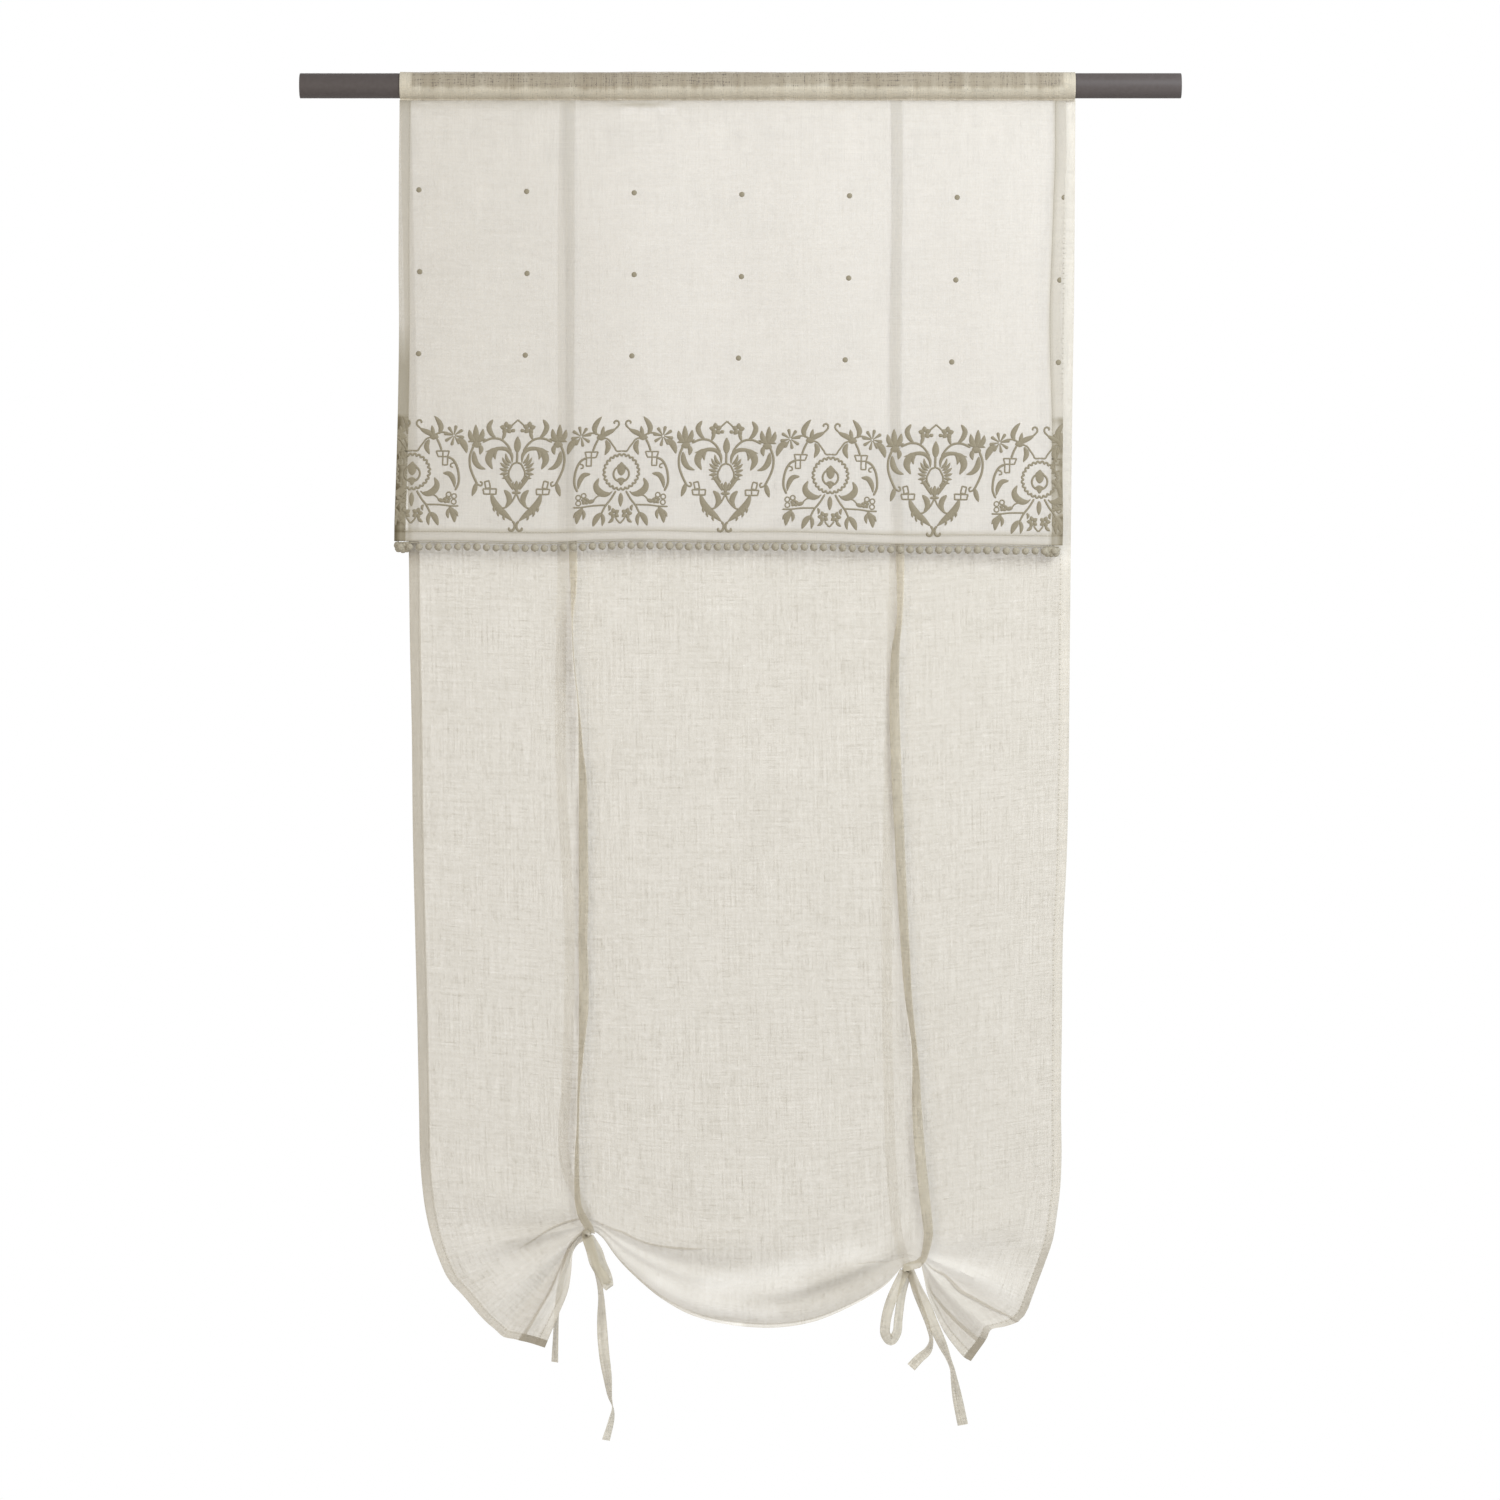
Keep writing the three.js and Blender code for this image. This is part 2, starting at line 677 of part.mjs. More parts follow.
// Pompom trim: a narrow strip under the valance's edge with a row of pompoms
function makeTrim() {
  const top = -pieceGap;
  const stripPoint = (across, down) => {
    const point = valancePoint(across, valanceDrop);
    point.z += top - down;
    return point;
  };
  const strip = sheetGeometry(
    evenStops(0, 1, valanceColumns),
    [0, trimHeight],
    stripPoint,
    trimThickness,
  );
  const pompoms = [];
  for (let i = 0; i < pompomCount; i += 1) {
    const pompom = new THREE.OctahedronGeometry(pompomDiameter / 2, 1);
    const place = stripPoint((i + 0.5) / pompomCount, trimHeight);
    pompom.translate(place.x, place.y, place.z - pompomDiameter / 2 + pompomSink);
    pompoms.push(pompom);
  }
  addPiece('pompom_trim', joined([strip, ...pompoms]), finish('#c8c3b2', 0.95));
}

function makeTie(name, table) {
  addPiece(name, tapeGeometry(table, tieSteps), finish(tapeColor, 0.95));
}

// A bow: knot, loop and two free ends in one
function makeBow(name, knot, tapes) {
  const ball = new THREE.SphereGeometry(0.5, knotFacets, knotFacets / 2);
  ball.scale(knot.wide, knot.deep, knot.high);
  const bow = addPiece(
    name,
    joined([
      ball,
      tapeGeometry(tapes.loop, loopSteps),
      tapeGeometry(tapes.longEnd, endSteps),
      tapeGeometry(tapes.shortEnd, endSteps),
    ]),
    finish(tapeColor, 0.95),
  );
  bow.position.set(knot.x, knot.y, knot.z);
}

makeRod();
makeHeading();
makePanel();
makeValance();
makeTrim();
makeTie('tie_front_left', frontTieLeft);
makeTie('tie_front_right', frontTieRight);
makeTie('tie_back_left', backTieLeft);
makeTie('tie_back_right', backTieRight);
makeBow('bow_left', leftKnot, leftBowTapes);
makeBow('bow_right', rightKnot, rightBowTapes);

export default curtain;
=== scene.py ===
import math

import bpy
import numpy as np
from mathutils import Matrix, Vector


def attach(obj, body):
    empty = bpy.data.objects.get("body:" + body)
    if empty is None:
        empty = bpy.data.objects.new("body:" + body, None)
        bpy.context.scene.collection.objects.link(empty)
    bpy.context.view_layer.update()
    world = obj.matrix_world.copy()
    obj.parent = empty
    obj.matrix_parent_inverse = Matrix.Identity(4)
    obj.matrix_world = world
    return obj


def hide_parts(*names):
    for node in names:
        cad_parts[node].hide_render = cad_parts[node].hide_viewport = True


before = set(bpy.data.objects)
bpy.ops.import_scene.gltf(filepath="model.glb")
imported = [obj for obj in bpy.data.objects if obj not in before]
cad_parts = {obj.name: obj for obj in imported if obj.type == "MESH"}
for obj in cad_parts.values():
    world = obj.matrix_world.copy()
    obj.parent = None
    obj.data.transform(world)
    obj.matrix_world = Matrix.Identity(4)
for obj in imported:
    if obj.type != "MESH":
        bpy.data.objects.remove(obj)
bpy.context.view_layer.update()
bpy.ops.object.select_all(action="DESELECT")
print("frame loaded:", sorted(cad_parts))

# The curtain hangs from a rod along X, and its front faces -Y. Tables are in millimetres.
mm = 0.001
foldStep = 0.4   # a hem's fold has a row of points this far on either side
foldReach = 0.8   # and the turned-in cloth lies behind the front from here on
edgeBlur = 0.5   # a hem's tone ends within this on either side of its inner edge
scene = bpy.context.scene


# Curves and tables

def readTable(rows, key, values, column):
    # smooth curve through a table's rows, read off by one column
    xs = np.array([row[key] for row in rows], float)
    ys = np.array([row[column] for row in rows], float)
    slopes = np.empty_like(ys)
    slopes[1:-1] = (ys[2:] - ys[:-2]) / (xs[2:] - xs[:-2])
    slopes[0] = (ys[1] - ys[0]) / (xs[1] - xs[0])
    slopes[-1] = (ys[-1] - ys[-2]) / (xs[-1] - xs[-2])
    values = np.asarray(values, float)
    i = np.clip(np.searchsorted(xs, values) - 1, 0, len(xs) - 2)
    span = xs[i + 1] - xs[i]
    t = np.clip((values - xs[i]) / span, 0, 1)
    return (
        (2 * t ** 3 - 3 * t ** 2 + 1) * ys[i]
        + (t ** 3 - 2 * t ** 2 + t) * span * slopes[i]
        + (3 * t ** 2 - 2 * t ** 3) * ys[i + 1]
        + (t ** 3 - t ** 2) * span * slopes[i + 1]
    )


def smoothLine(points, perSpan=16):
    # a curve through points that doesn't overshoot where they lie close together
    p = np.array(points, float)
    around = np.vstack([2 * p[0] - p[1], p, 2 * p[-1] - p[-2]])
    s = np.linspace(0, 1, perSpan, endpoint=False)[:, None]
    spans = []
    for i in range(len(p) - 1):
        a, b, c, d = around[i:i + 4]
        ta, tb, tc = (max(np.linalg.norm(v), 1e-6) ** 0.5 for v in (b - a, c - b, d - c))
        leave = ((b - a) / ta - (c - a) / (ta + tb) + (c - b) / tb) * tb
        enter = ((c - b) / tb - (d - b) / (tb + tc) + (d - c) / tc) * tb
        spans.append(
            b + leave * s
            + (3 * (c - b) - 2 * leave - enter) * s ** 2
            + (2 * (b - c) + leave + enter) * s ** 3
        )
    return np.vstack(spans + [p[-1:]])


def lengthsAlong(line):
    steps = np.linalg.norm(np.diff(line, axis=0), axis=1)
    return np.concatenate([[0], np.cumsum(steps)])


def alongLine(line, share):
    # points at shares 0 to 1 of a line's length
    lengths = lengthsAlong(line)
    at = np.asarray(share) * lengths[-1]
    return np.stack([np.interp(at, lengths, line[:, k]) for k in range(line.shape[1])], -1)


def smoothStep(value, low, high):
    t = np.clip((np.asarray(value, float) - low) / (high - low), 0, 1)
    return t * t * (3 - 2 * t)


def bell(value, middle, width):
    return np.exp(-(((np.asarray(value) - middle) / width) ** 2))


def mix(a, b, share):
    return a + (b - a) * share


def thinLine(value, at, line):
    # a line of a strength and a width, drawn where value comes near at
    strength, width = line
    return strength * bell(value, at, width)


# Meshes

def newPiece(name, vertices, faces, uv, material, replaced=(), layersAndShading=None):
    # uv: the place on the flat cloth, in metres; the tone mask: how dense the cloth looks, 1 in a hem,
    # with painted light and shade added to it in places
    mesh = bpy.data.meshes.new(name)
    mesh.from_pydata(np.asarray(vertices).tolist(), [], [list(face) for face in faces])
    layer = mesh.uv_layers.new(name="cloth")
    corner = np.empty(len(mesh.loops), int)
    mesh.loops.foreach_get("vertex_index", corner)
    layer.data.foreach_set("uv", np.asarray(uv, float)[corner].ravel())
    mask = mesh.attributes.new("layersAndShading", "FLOAT", "POINT")
    values = np.zeros(len(vertices)) if layersAndShading is None else np.asarray(layersAndShading, float).ravel()
    mask.data.foreach_set("value", values)
    mesh.materials.append(material)
    piece = bpy.data.objects.new(name, mesh)
    scene.collection.objects.link(piece)
    smoothPiece(piece)
    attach(piece, "root")
    if replaced:
        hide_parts(*replaced)
    return piece


def pickOnly(piece):
    bpy.ops.object.select_all(action="DESELECT")
    bpy.context.view_layer.objects.active = piece
    piece.select_set(True)


def smoothPiece(piece, degrees=50):
    pickOnly(piece)
    bpy.ops.object.shade_smooth_by_angle(angle=math.radians(degrees))
    piece.select_set(False)


def turnedOut(piece):
    pickOnly(piece)
    bpy.ops.object.mode_set(mode="EDIT")
    bpy.ops.mesh.select_all(action="SELECT")
    bpy.ops.mesh.normals_make_consistent(inside=False)
    bpy.ops.object.mode_set(mode="OBJECT")
    piece.select_set(False)


def gridFaces(rows, columns):
    # faces of a sheet whose rows run down and whose front looks along -Y
    index = np.arange(rows * columns).reshape(rows, columns)
    quads = np.stack([index[:-1, :-1], index[1:, :-1], index[1:, 1:], index[:-1, 1:]], -1)
    return quads.reshape(-1, 4)


def stitchMesh(line, look):
    # a row of raised stitches along a line, each one a small spindle in front of the cloth
    lengths = lengthsAlong(line)
    at = np.arange(look["pitch"] / 2, lengths[-1], look["pitch"])
    near = 0.5   # millimetres either way that give the line's direction
    middle = alongLine(line, at / lengths[-1])
    ahead = alongLine(line, np.minimum(at + near, lengths[-1]) / lengths[-1])
    tangent = ahead - alongLine(line, (at - near) / lengths[-1])
    tangent /= np.maximum(np.linalg.norm(tangent, axis=1, keepdims=True), 1e-9)
    side = np.cross(tangent, [0, -1, 0])
    if look.get("crosswise"):
        tangent, side = side, tangent
    front = np.array([0, -1, 0]) * look["raise"]
    middle = middle + front * look["lift"]
    ends = tangent * look["length"] / 2
    wide = side * look["width"] / 2
    corners = np.stack([
        middle - ends, middle + ends, middle - wide, middle + wide,
        middle + front, middle - front * look["sunk"],
    ], 1)
    spindle = np.array([
        (0, 2, 4), (0, 4, 3), (0, 3, 5), (0, 5, 2), (1, 4, 2), (1, 3, 4), (1, 5, 3), (1, 2, 5),
    ])
    faces = (spindle[None] + 6 * np.arange(len(at))[:, None, None]).reshape(-1, 3)
    return corners.reshape(-1, 3), faces


def joinMeshes(parts):
    # parts: (vertices, faces) pairs
    vertices, faces, start = [], [], 0
    for points, quads in parts:
        vertices.append(points)
        faces += [[int(i) + start for i in face] for face in quads]
        start += len(points)
    return np.vstack(vertices), faces


# Materials

def addNode(tree, kind, values=None, **settings):
    node = tree.nodes.new(kind)
    for name, value in settings.items():
        setattr(node, name, value)
    for socket, value in (values or {}).items():
        if isinstance(value, bpy.types.NodeSocket):
            tree.links.new(value, node.inputs[socket])
        else:
            node.inputs[socket].default_value = value
    return node


def calc(tree, operation, *values):
    node = addNode(tree, "ShaderNodeMath", dict(enumerate(values)), operation=operation)
    return node.outputs[0]


def mixColor(tree, share, first, second):
    node = addNode(tree, "ShaderNodeMix", data_type="RGBA")
    sockets = [socket for socket in node.inputs if socket.enabled]
    for socket, value in zip(sockets, (share, first, second)):
        if isinstance(value, bpy.types.NodeSocket):
            tree.links.new(value, socket)
        else:
            socket.default_value = value
    return next(socket for socket in node.outputs if socket.enabled)


# noise scales across and along the cloth; a pair of them is one set of threads each way
linen = {
    "thick": ((560, 42), (38, 540)), "thickFrom": 0.1, "thickGain": 5.0, "thickAlong": 0.8,
    "thin": ((520, 60), (52, 530)), "thinFrom": 0.12, "thinGain": 4.0,
    "fine": ((900, 150), (150, 900)), "threads": ((520, 14), (14, 520)), "threadsAlong": 0.8,
    "patches": ((13, 10), (60, 45)), "smallPatches": 0.5,
    "mesh": 7850, "meshTone": 0.03, "meshHeight": 0.6,
}


def makeLinenGroup():
    # plain linen weave: uneven threads with short thick and thin places both ways, a fine grain
    # and soft cloudy patches
    group = bpy.data.node_groups.new("linenWeave", "ShaderNodeTree")
    group.interface.new_socket(name="Place", in_out="INPUT", socket_type="NodeSocketVector")
    for name in ("Slubs", "Fine", "Patches", "Threads"):
        group.interface.new_socket(name=name, in_out="INPUT", socket_type="NodeSocketFloat")
    for name in ("Tone", "Height"):
        group.interface.new_socket(name=name, in_out="OUTPUT", socket_type="NodeSocketFloat")
    inside = addNode(group, "NodeGroupInput")
    place = inside.outputs["Place"]

    def streaks(x, y, detail):
        scaled = addNode(group, "ShaderNodeMapping", {"Vector": place, "Scale": (x, y, 1)})
        noise = addNode(
            group, "ShaderNodeTexNoise",
            {"Vector": scaled.outputs[0], "Scale": 1.0, "Detail": detail, "Roughness": 0.6},
            noise_dimensions="2D",
        )
        return calc(group, "SUBTRACT", noise.outputs["Fac"], 0.5)

    def thickPlaces(x, y):
        over = calc(group, "SUBTRACT", streaks(x, y, 1), linen["thickFrom"])
        return calc(group, "MULTIPLY", calc(group, "MAXIMUM", over, 0.0), linen["thickGain"])

    def thinPlaces(x, y):
        under = calc(group, "ADD", streaks(x, y, 1), linen["thinFrom"])
        return calc(group, "MULTIPLY", calc(group, "MINIMUM", under, 0.0), linen["thinGain"])

    def bothWays(kind, detail, secondShare):
        first, second = linen[kind]
        along = calc(group, "MULTIPLY", streaks(*second, detail[1]), secondShare)
        return calc(group, "ADD", streaks(*first, detail[0]), along)

    acrossThick, alongThick = linen["thick"]
    alongThick = calc(group, "MULTIPLY", thickPlaces(*alongThick), linen["thickAlong"])
    thick = calc(group, "ADD", thickPlaces(*acrossThick), alongThick)
    acrossThin, alongThin = linen["thin"]
    thin = calc(group, "ADD", thinPlaces(*acrossThin), thinPlaces(*alongThin))
    slubs = calc(group, "ADD", thick, thin)
    fine = bothWays("fine", (2, 2), 1.0)
    patches = bothWays("patches", (2, 1), linen["smallPatches"])
    threads = bothWays("threads", (1, 1), linen["threadsAlong"])
    parts = addNode(group, "ShaderNodeSeparateXYZ", {"Vector": place})
    mesh = calc(
        group, "MULTIPLY",
        calc(group, "SINE", calc(group, "MULTIPLY", parts.outputs[0], linen["mesh"])),
        calc(group, "SINE", calc(group, "MULTIPLY", parts.outputs[1], linen["mesh"])),
    )
    darker = calc(
        group, "ADD",
        calc(group, "MULTIPLY", slubs, inside.outputs["Slubs"]),
        calc(group, "MULTIPLY", fine, inside.outputs["Fine"]),
    )
    uneven = calc(
        group, "ADD",
        calc(group, "MULTIPLY", patches, inside.outputs["Patches"]),
        calc(group, "MULTIPLY", threads, inside.outputs["Threads"]),
    )
    uneven = calc(group, "MULTIPLY_ADD", mesh, linen["meshTone"], uneven)
    outside = addNode(group, "NodeGroupOutput")
    tone = calc(group, "SUBTRACT", calc(group, "ADD", uneven, 1.0), darker)
    height = calc(
        group, "ADD", calc(group, "ADD", slubs, fine), calc(group, "MULTIPLY", mesh, linen["meshHeight"])
    )
    group.links.new(tone, outside.inputs["Tone"])
    group.links.new(height, outside.inputs["Height"])
    return group


linenGroup = makeLinenGroup()


clothFinish = {"roughness": 0.92, "specular": 0.1, "bumpDistance": 0.0002}


def makeCloth(name, look):
    # color and dense: cloth in one layer and in two; cover: how much of what is behind it hides;
    # each layer more takes the tone down by the same ratio, and the same mask also carries painted
    # light and shade
    material = bpy.data.materials.new(name)
    material.use_nodes = True
    tree = material.node_tree
    shader = tree.nodes["Principled BSDF"]
    uv = addNode(tree, "ShaderNodeUVMap", uv_map="cloth")
    weave = addNode(tree, "ShaderNodeGroup", node_tree=linenGroup)
    tree.links.new(uv.outputs[0], weave.inputs["Place"])
    for socket in ("Slubs", "Fine", "Patches", "Threads"):
        weave.inputs[socket].default_value = look[socket.lower()]
    layersAndShading = addNode(tree, "ShaderNodeAttribute", attribute_name="layersAndShading").outputs["Fac"]
    deeper = [
        calc(tree, "POWER", low / high, layersAndShading) for low, high in zip(look["dense"], look["color"])
    ]
    share = addNode(tree, "ShaderNodeCombineXYZ", dict(enumerate(deeper)))
    color = addNode(
        tree, "ShaderNodeVectorMath", {0: share.outputs[0], 1: look["color"]}, operation="MULTIPLY"
    )
    toned = addNode(tree, "ShaderNodeVectorMath", {0: color.outputs[0]}, operation="SCALE")
    tree.links.new(weave.outputs["Tone"], toned.inputs["Scale"])
    tree.links.new(toned.outputs[0], shader.inputs["Base Color"])
    cover = calc(tree, "MULTIPLY_ADD", layersAndShading, look["denseCover"] - look["cover"], look["cover"])
    thick = calc(tree, "MULTIPLY", calc(tree, "SUBTRACT", 1.0, weave.outputs["Tone"]), look["openness"])
    alpha = addNode(tree, "ShaderNodeClamp", {"Value": calc(tree, "ADD", cover, thick)})
    tree.links.new(alpha.outputs[0], shader.inputs["Alpha"])
    bump = addNode(tree, "ShaderNodeBump", {
        "Height": weave.outputs["Height"], "Strength": look["bump"],
        "Distance": clothFinish["bumpDistance"],
    })
    tree.links.new(bump.outputs[0], shader.inputs["Normal"])
    shader.inputs["Roughness"].default_value = clothFinish["roughness"]
    shader.inputs["Specular IOR Level"].default_value = clothFinish["specular"]
    return material


panelLook = {
    "color": (0.60, 0.543, 0.448), "dense": (0.51, 0.455, 0.366),
    "cover": 0.76, "denseCover": 0.84, "openness": 1.0,
    "slubs": 0.09, "fine": 0.19, "patches": 0.03, "threads": 0.17, "bump": 0.35,
}
valanceLook = {
    "color": (0.815, 0.765, 0.695), "dense": (0.58, 0.53, 0.445),
    "cover": 0.54, "denseCover": 0.7, "openness": 1.0,
    "slubs": 0.08, "fine": 0.12, "patches": 0.05, "threads": 0.14, "bump": 0.3,
}
# the heading is the panel's linen, its color drawn darker as painted shade on the pocket round the rod
headingLook = {
    "color": (0.57, 0.49, 0.365), "dense": (0.745, 0.67, 0.532),
    "cover": 0.62, "denseCover": 0.70, "openness": 1.0,
    "slubs": 0.16, "fine": 0.8, "patches": 0.2, "threads": 0.75, "bump": 0.5,
}
tapeLook = {
    "color": (0.64, 0.577, 0.45), "dense": (0.50, 0.445, 0.34),
    "cover": 0.56, "denseCover": 0.66, "openness": 0.5,
    "slubs": 0.2, "fine": 0.35, "patches": 0.15, "threads": 0.3, "bump": 0.4,
}
# the ties at the back show through the panel only faintly
backTapeLook = {**tapeLook, "cover": 0.22, "color": (0.72, 0.665, 0.56)}
panelCloth = makeCloth("panelCloth", panelLook)
valanceCloth = makeCloth("valanceCloth", valanceLook)
headingCloth = makeCloth("headingCloth", headingLook)
tapeCloth = makeCloth("tapeCloth", tapeLook)
backTapeCloth = makeCloth("backTapeCloth", backTapeLook)


paintLook = {
    "dark": (0.082, 0.067, 0.061, 1), "light": (0.108, 0.091, 0.085, 1), "grain": 240.0,
    "roughness": 0.38, "uneven": 0.2, "bump": 0.1, "bumpDistance": 0.0005, "specular": 0.2,
}


def makePaint():
    # satin paint on a metal tube, with a faint unevenness
    material = bpy.data.materials.new("rodPaint")
    material.use_nodes = True
    tree = material.node_tree
    shader = tree.nodes["Principled BSDF"]
    place = addNode(tree, "ShaderNodeTexCoord").outputs["Object"]
    noise = addNode(
        tree, "ShaderNodeTexNoise", {"Vector": place, "Scale": paintLook["grain"], "Detail": 3.0}
    ).outputs["Fac"]
    color = mixColor(tree, noise, paintLook["dark"], paintLook["light"])
    tree.links.new(color, shader.inputs["Base Color"])
    rough = calc(tree, "MULTIPLY_ADD", noise, paintLook["uneven"], paintLook["roughness"])
    tree.links.new(rough, shader.inputs["Roughness"])
    bump = addNode(tree, "ShaderNodeBump", {
        "Height": noise, "Strength": paintLook["bump"], "Distance": paintLook["bumpDistance"],
    })
    tree.links.new(bump.outputs[0], shader.inputs["Normal"])
    shader.inputs["Specular IOR Level"].default_value = paintLook["specular"]
    return material


yarnFinish = {"bump": 0.5, "bumpDistance": 0.0003, "specular": 0.2, "sheen": 0.1}


def makeYarn(name, look):
    # spun thread: pale and dark strands that run along it
    material = bpy.data.materials.new(name)
    material.use_nodes = True
    tree = material.node_tree
    shader = tree.nodes["Principled BSDF"]
    uv = addNode(tree, "ShaderNodeUVMap", uv_map="cloth").outputs[0]
    scaled = addNode(tree, "ShaderNodeMapping", {"Vector": uv, "Scale": (*look["strands"], 1)})
    noise = addNode(
        tree, "ShaderNodeTexNoise", {"Vector": scaled.outputs[0], "Scale": 1.0, "Detail": 2.0}
    ).outputs["Fac"]
    shade = mixColor(tree, noise, (*look["dark"], 1), (*look["pale"], 1))
    tree.links.new(shade, shader.inputs["Base Color"])
    bump = addNode(tree, "ShaderNodeBump", {
        "Height": noise, "Strength": yarnFinish["bump"], "Distance": yarnFinish["bumpDistance"],
    })
    tree.links.new(bump.outputs[0], shader.inputs["Normal"])
    shader.inputs["Roughness"].default_value = look["roughness"]
    shader.inputs["Specular IOR Level"].default_value = yarnFinish["specular"]
    shader.inputs["Sheen Weight"].default_value = yarnFinish["sheen"]
    return material


rodPaint = makePaint()
pompomYarn = makeYarn("pompomYarn", {
    "pale": (0.50, 0.45, 0.35), "dark": (0.26, 0.225, 0.16), "strands": (700, 700), "roughness": 0.9,
})
satinThread = makeYarn("satinThread", {
    "pale": (0.36, 0.31, 0.22), "dark": (0.185, 0.157, 0.1), "strands": (300, 2600), "roughness": 0.6,
})
sewingThread = makeYarn("sewingThread", {
    "pale": (0.58, 0.54, 0.44), "dark": (0.44, 0.40, 0.31), "strands": (2000, 2000), "roughness": 0.8,
})
print("materials made")


# Camera and light

# frameSide: how much of the curtain's plane the square picture shows, in millimetres
view = {"lens": 135, "sensor": 36, "frameSide": 1556, "middleX": 9.85, "middleZ": -689, "farthest": 60}


def makeCamera():
    camera = bpy.data.objects.new("camera", bpy.data.cameras.new("camera"))
    scene.collection.objects.link(camera)
    camera.data.lens = view["lens"]
    camera.data.sensor_width = view["sensor"]
    distance = view["frameSide"] * mm * view["lens"] / view["sensor"]
    camera.location = (view["middleX"] * mm, -distance, view["middleZ"] * mm)
    camera.rotation_euler = (math.pi / 2, 0, 0)
    camera.data.clip_end = view["farthest"]
    scene.camera = camera


def makeLamp(name, look):
    lamp = bpy.data.objects.new(name, bpy.data.lights.new(name, "AREA"))
    scene.collection.objects.link(lamp)
    lamp.data.size = look["size"]
    lamp.data.energy = look["power"]
    lamp.data.color = look["color"]
    lamp.location = look["place"]
    aim = Vector(look["aim"]) - Vector(look["place"])
    lamp.rotation_euler = aim.to_track_quat("-Z", "Y").to_euler()


lamps = {
    "key": {
        "place": (1.75, -1.8, 0.85), "aim": (0.1, 0, -0.45), "size": 1.6,
        "power": 74, "color": (0.865, 0.942, 1.03),
    },
    "fill": {
        "place": (-2.3, -3.0, -0.3), "aim": (-0.1, 0, -0.7), "size": 2.4,
        "power": 31, "color": (1.0, 0.93, 0.82),
    },
    "rear": {
        "place": (-1.4, 3.0, 0.6), "aim": (0, 0, -0.6), "size": 2.4,
        "power": 45, "color": (1, 1, 1),
    },
}
# the world is white behind the curtain and only half as bright as light
studio = {
    "seen": 1.0, "ambient": 0.5, "floorZ": -1.95, "floorRadius": 3.2, "floorSides": 96,
    "floorTone": 0.75, "floorRoughness": 0.9,
}


def makeStage():
    world = bpy.data.worlds.new("studio")
    world.use_nodes = True
    tree = world.node_tree
    seen = tree.nodes["Background"]
    seen.inputs["Color"].default_value = (1, 1, 1, 1)
    seen.inputs["Strength"].default_value = studio["seen"]
    soft = addNode(tree, "ShaderNodeBackground", {"Color": (1, 1, 1, 1), "Strength": studio["ambient"]})
    camera = addNode(tree, "ShaderNodeLightPath").outputs["Is Camera Ray"]
    both = addNode(tree, "ShaderNodeMixShader", {0: camera, 1: soft.outputs[0], 2: seen.outputs[0]})
    tree.links.new(both.outputs[0], tree.nodes["World Output"].inputs["Surface"])
    scene.world = world
    scene.view_settings.view_transform = "Standard"

    bpy.ops.mesh.primitive_circle_add(
        vertices=studio["floorSides"], radius=studio["floorRadius"], fill_type="NGON",
        location=(0, 0, studio["floorZ"]),
    )
    floor = bpy.context.object
    floor.name = "floor"
    pale = bpy.data.materials.new("paleFloor")
    pale.use_nodes = True
    shader = pale.node_tree.nodes["Principled BSDF"]
    shader.inputs["Base Color"].default_value = (*[studio["floorTone"]] * 3, 1)
    shader.inputs["Roughness"].default_value = studio["floorRoughness"]
    floor.data.materials.append(pale)
    for name, look in lamps.items():
        makeLamp(name, look)


makeCamera()
makeStage()
print("camera, light and floor ready")


# Rod

rod = {"diameter": 26, "length": 914, "sides": 96, "edge": 0.6, "edgeSteps": 3, "smoothBelow": 35}


def makeRod():
    bpy.ops.mesh.primitive_cylinder_add(
        vertices=rod["sides"], radius=rod["diameter"] / 2 * mm, depth=rod["length"] * mm,
        rotation=(0, math.pi / 2, 0),
    )
    piece = bpy.context.object
    piece.name = "paintedRod"
    bpy.ops.object.transform_apply(location=True, rotation=True, scale=True)
    bevel = piece.modifiers.new("edges", "BEVEL")
    bevel.width = rod["edge"] * mm
    bevel.segments = rod["edgeSteps"]
    bevel.limit_method = "ANGLE"
    bpy.ops.object.modifier_apply(modifier="edges")
    piece.data.materials.append(rodPaint)
    smoothPiece(piece, rod["smoothBelow"])
    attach(piece, "root")
    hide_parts("rod")


makeRod()
print("rod made")


# Heading, a pocket of the curtain's cloth round the rod

# arcs: first and last angle and the number of rows; waves: how fast a rumple runs along the rod
# and round it
heading = {
    "left": -353, "right": 347, "flapRadius": 13.6, "radius": 14.2, "seamZ": -15.2,
    "flapArc": (189, 250, 14), "ringArc": (-78, 256, 70), "hem": 13, "hemGap": 0.35, "columns": 260,
    "rumple": 0.35, "waves": ((0.045, 9), (0.021, 4), (0.13, -14)), "fineRumple": 0.4, "inward": -0.15,
    "strandCounts": (60, 230), "streaks": 0.22,
    "flapTop": -2.4, "flapWave": (1.3, 0.013), "ragged": 0.8, "flapBlur": 2.6,
    "seamShade": 0.35, "seamFade": (13, 14.6),
}


def headingSection():
    # from the turned-in edge at the front down to the seam, up the back, over and down again
    flap = np.radians(np.linspace(*heading["flapArc"]))
    ring = np.radians(np.linspace(*heading["ringArc"]))
    around = [
        np.stack([np.cos(flap), np.sin(flap)], -1) * heading["flapRadius"],
        [(-3.0, -13.9), (-2.5, heading["seamZ"]), (0.3, heading["seamZ"]), (1.2, -14.4)],
        np.stack([np.cos(ring), np.sin(ring)], -1) * heading["radius"],
        [(-3.2, -14.6), (-3.2, heading["seamZ"] - 0.4)],
    ]
    return np.vstack(around)


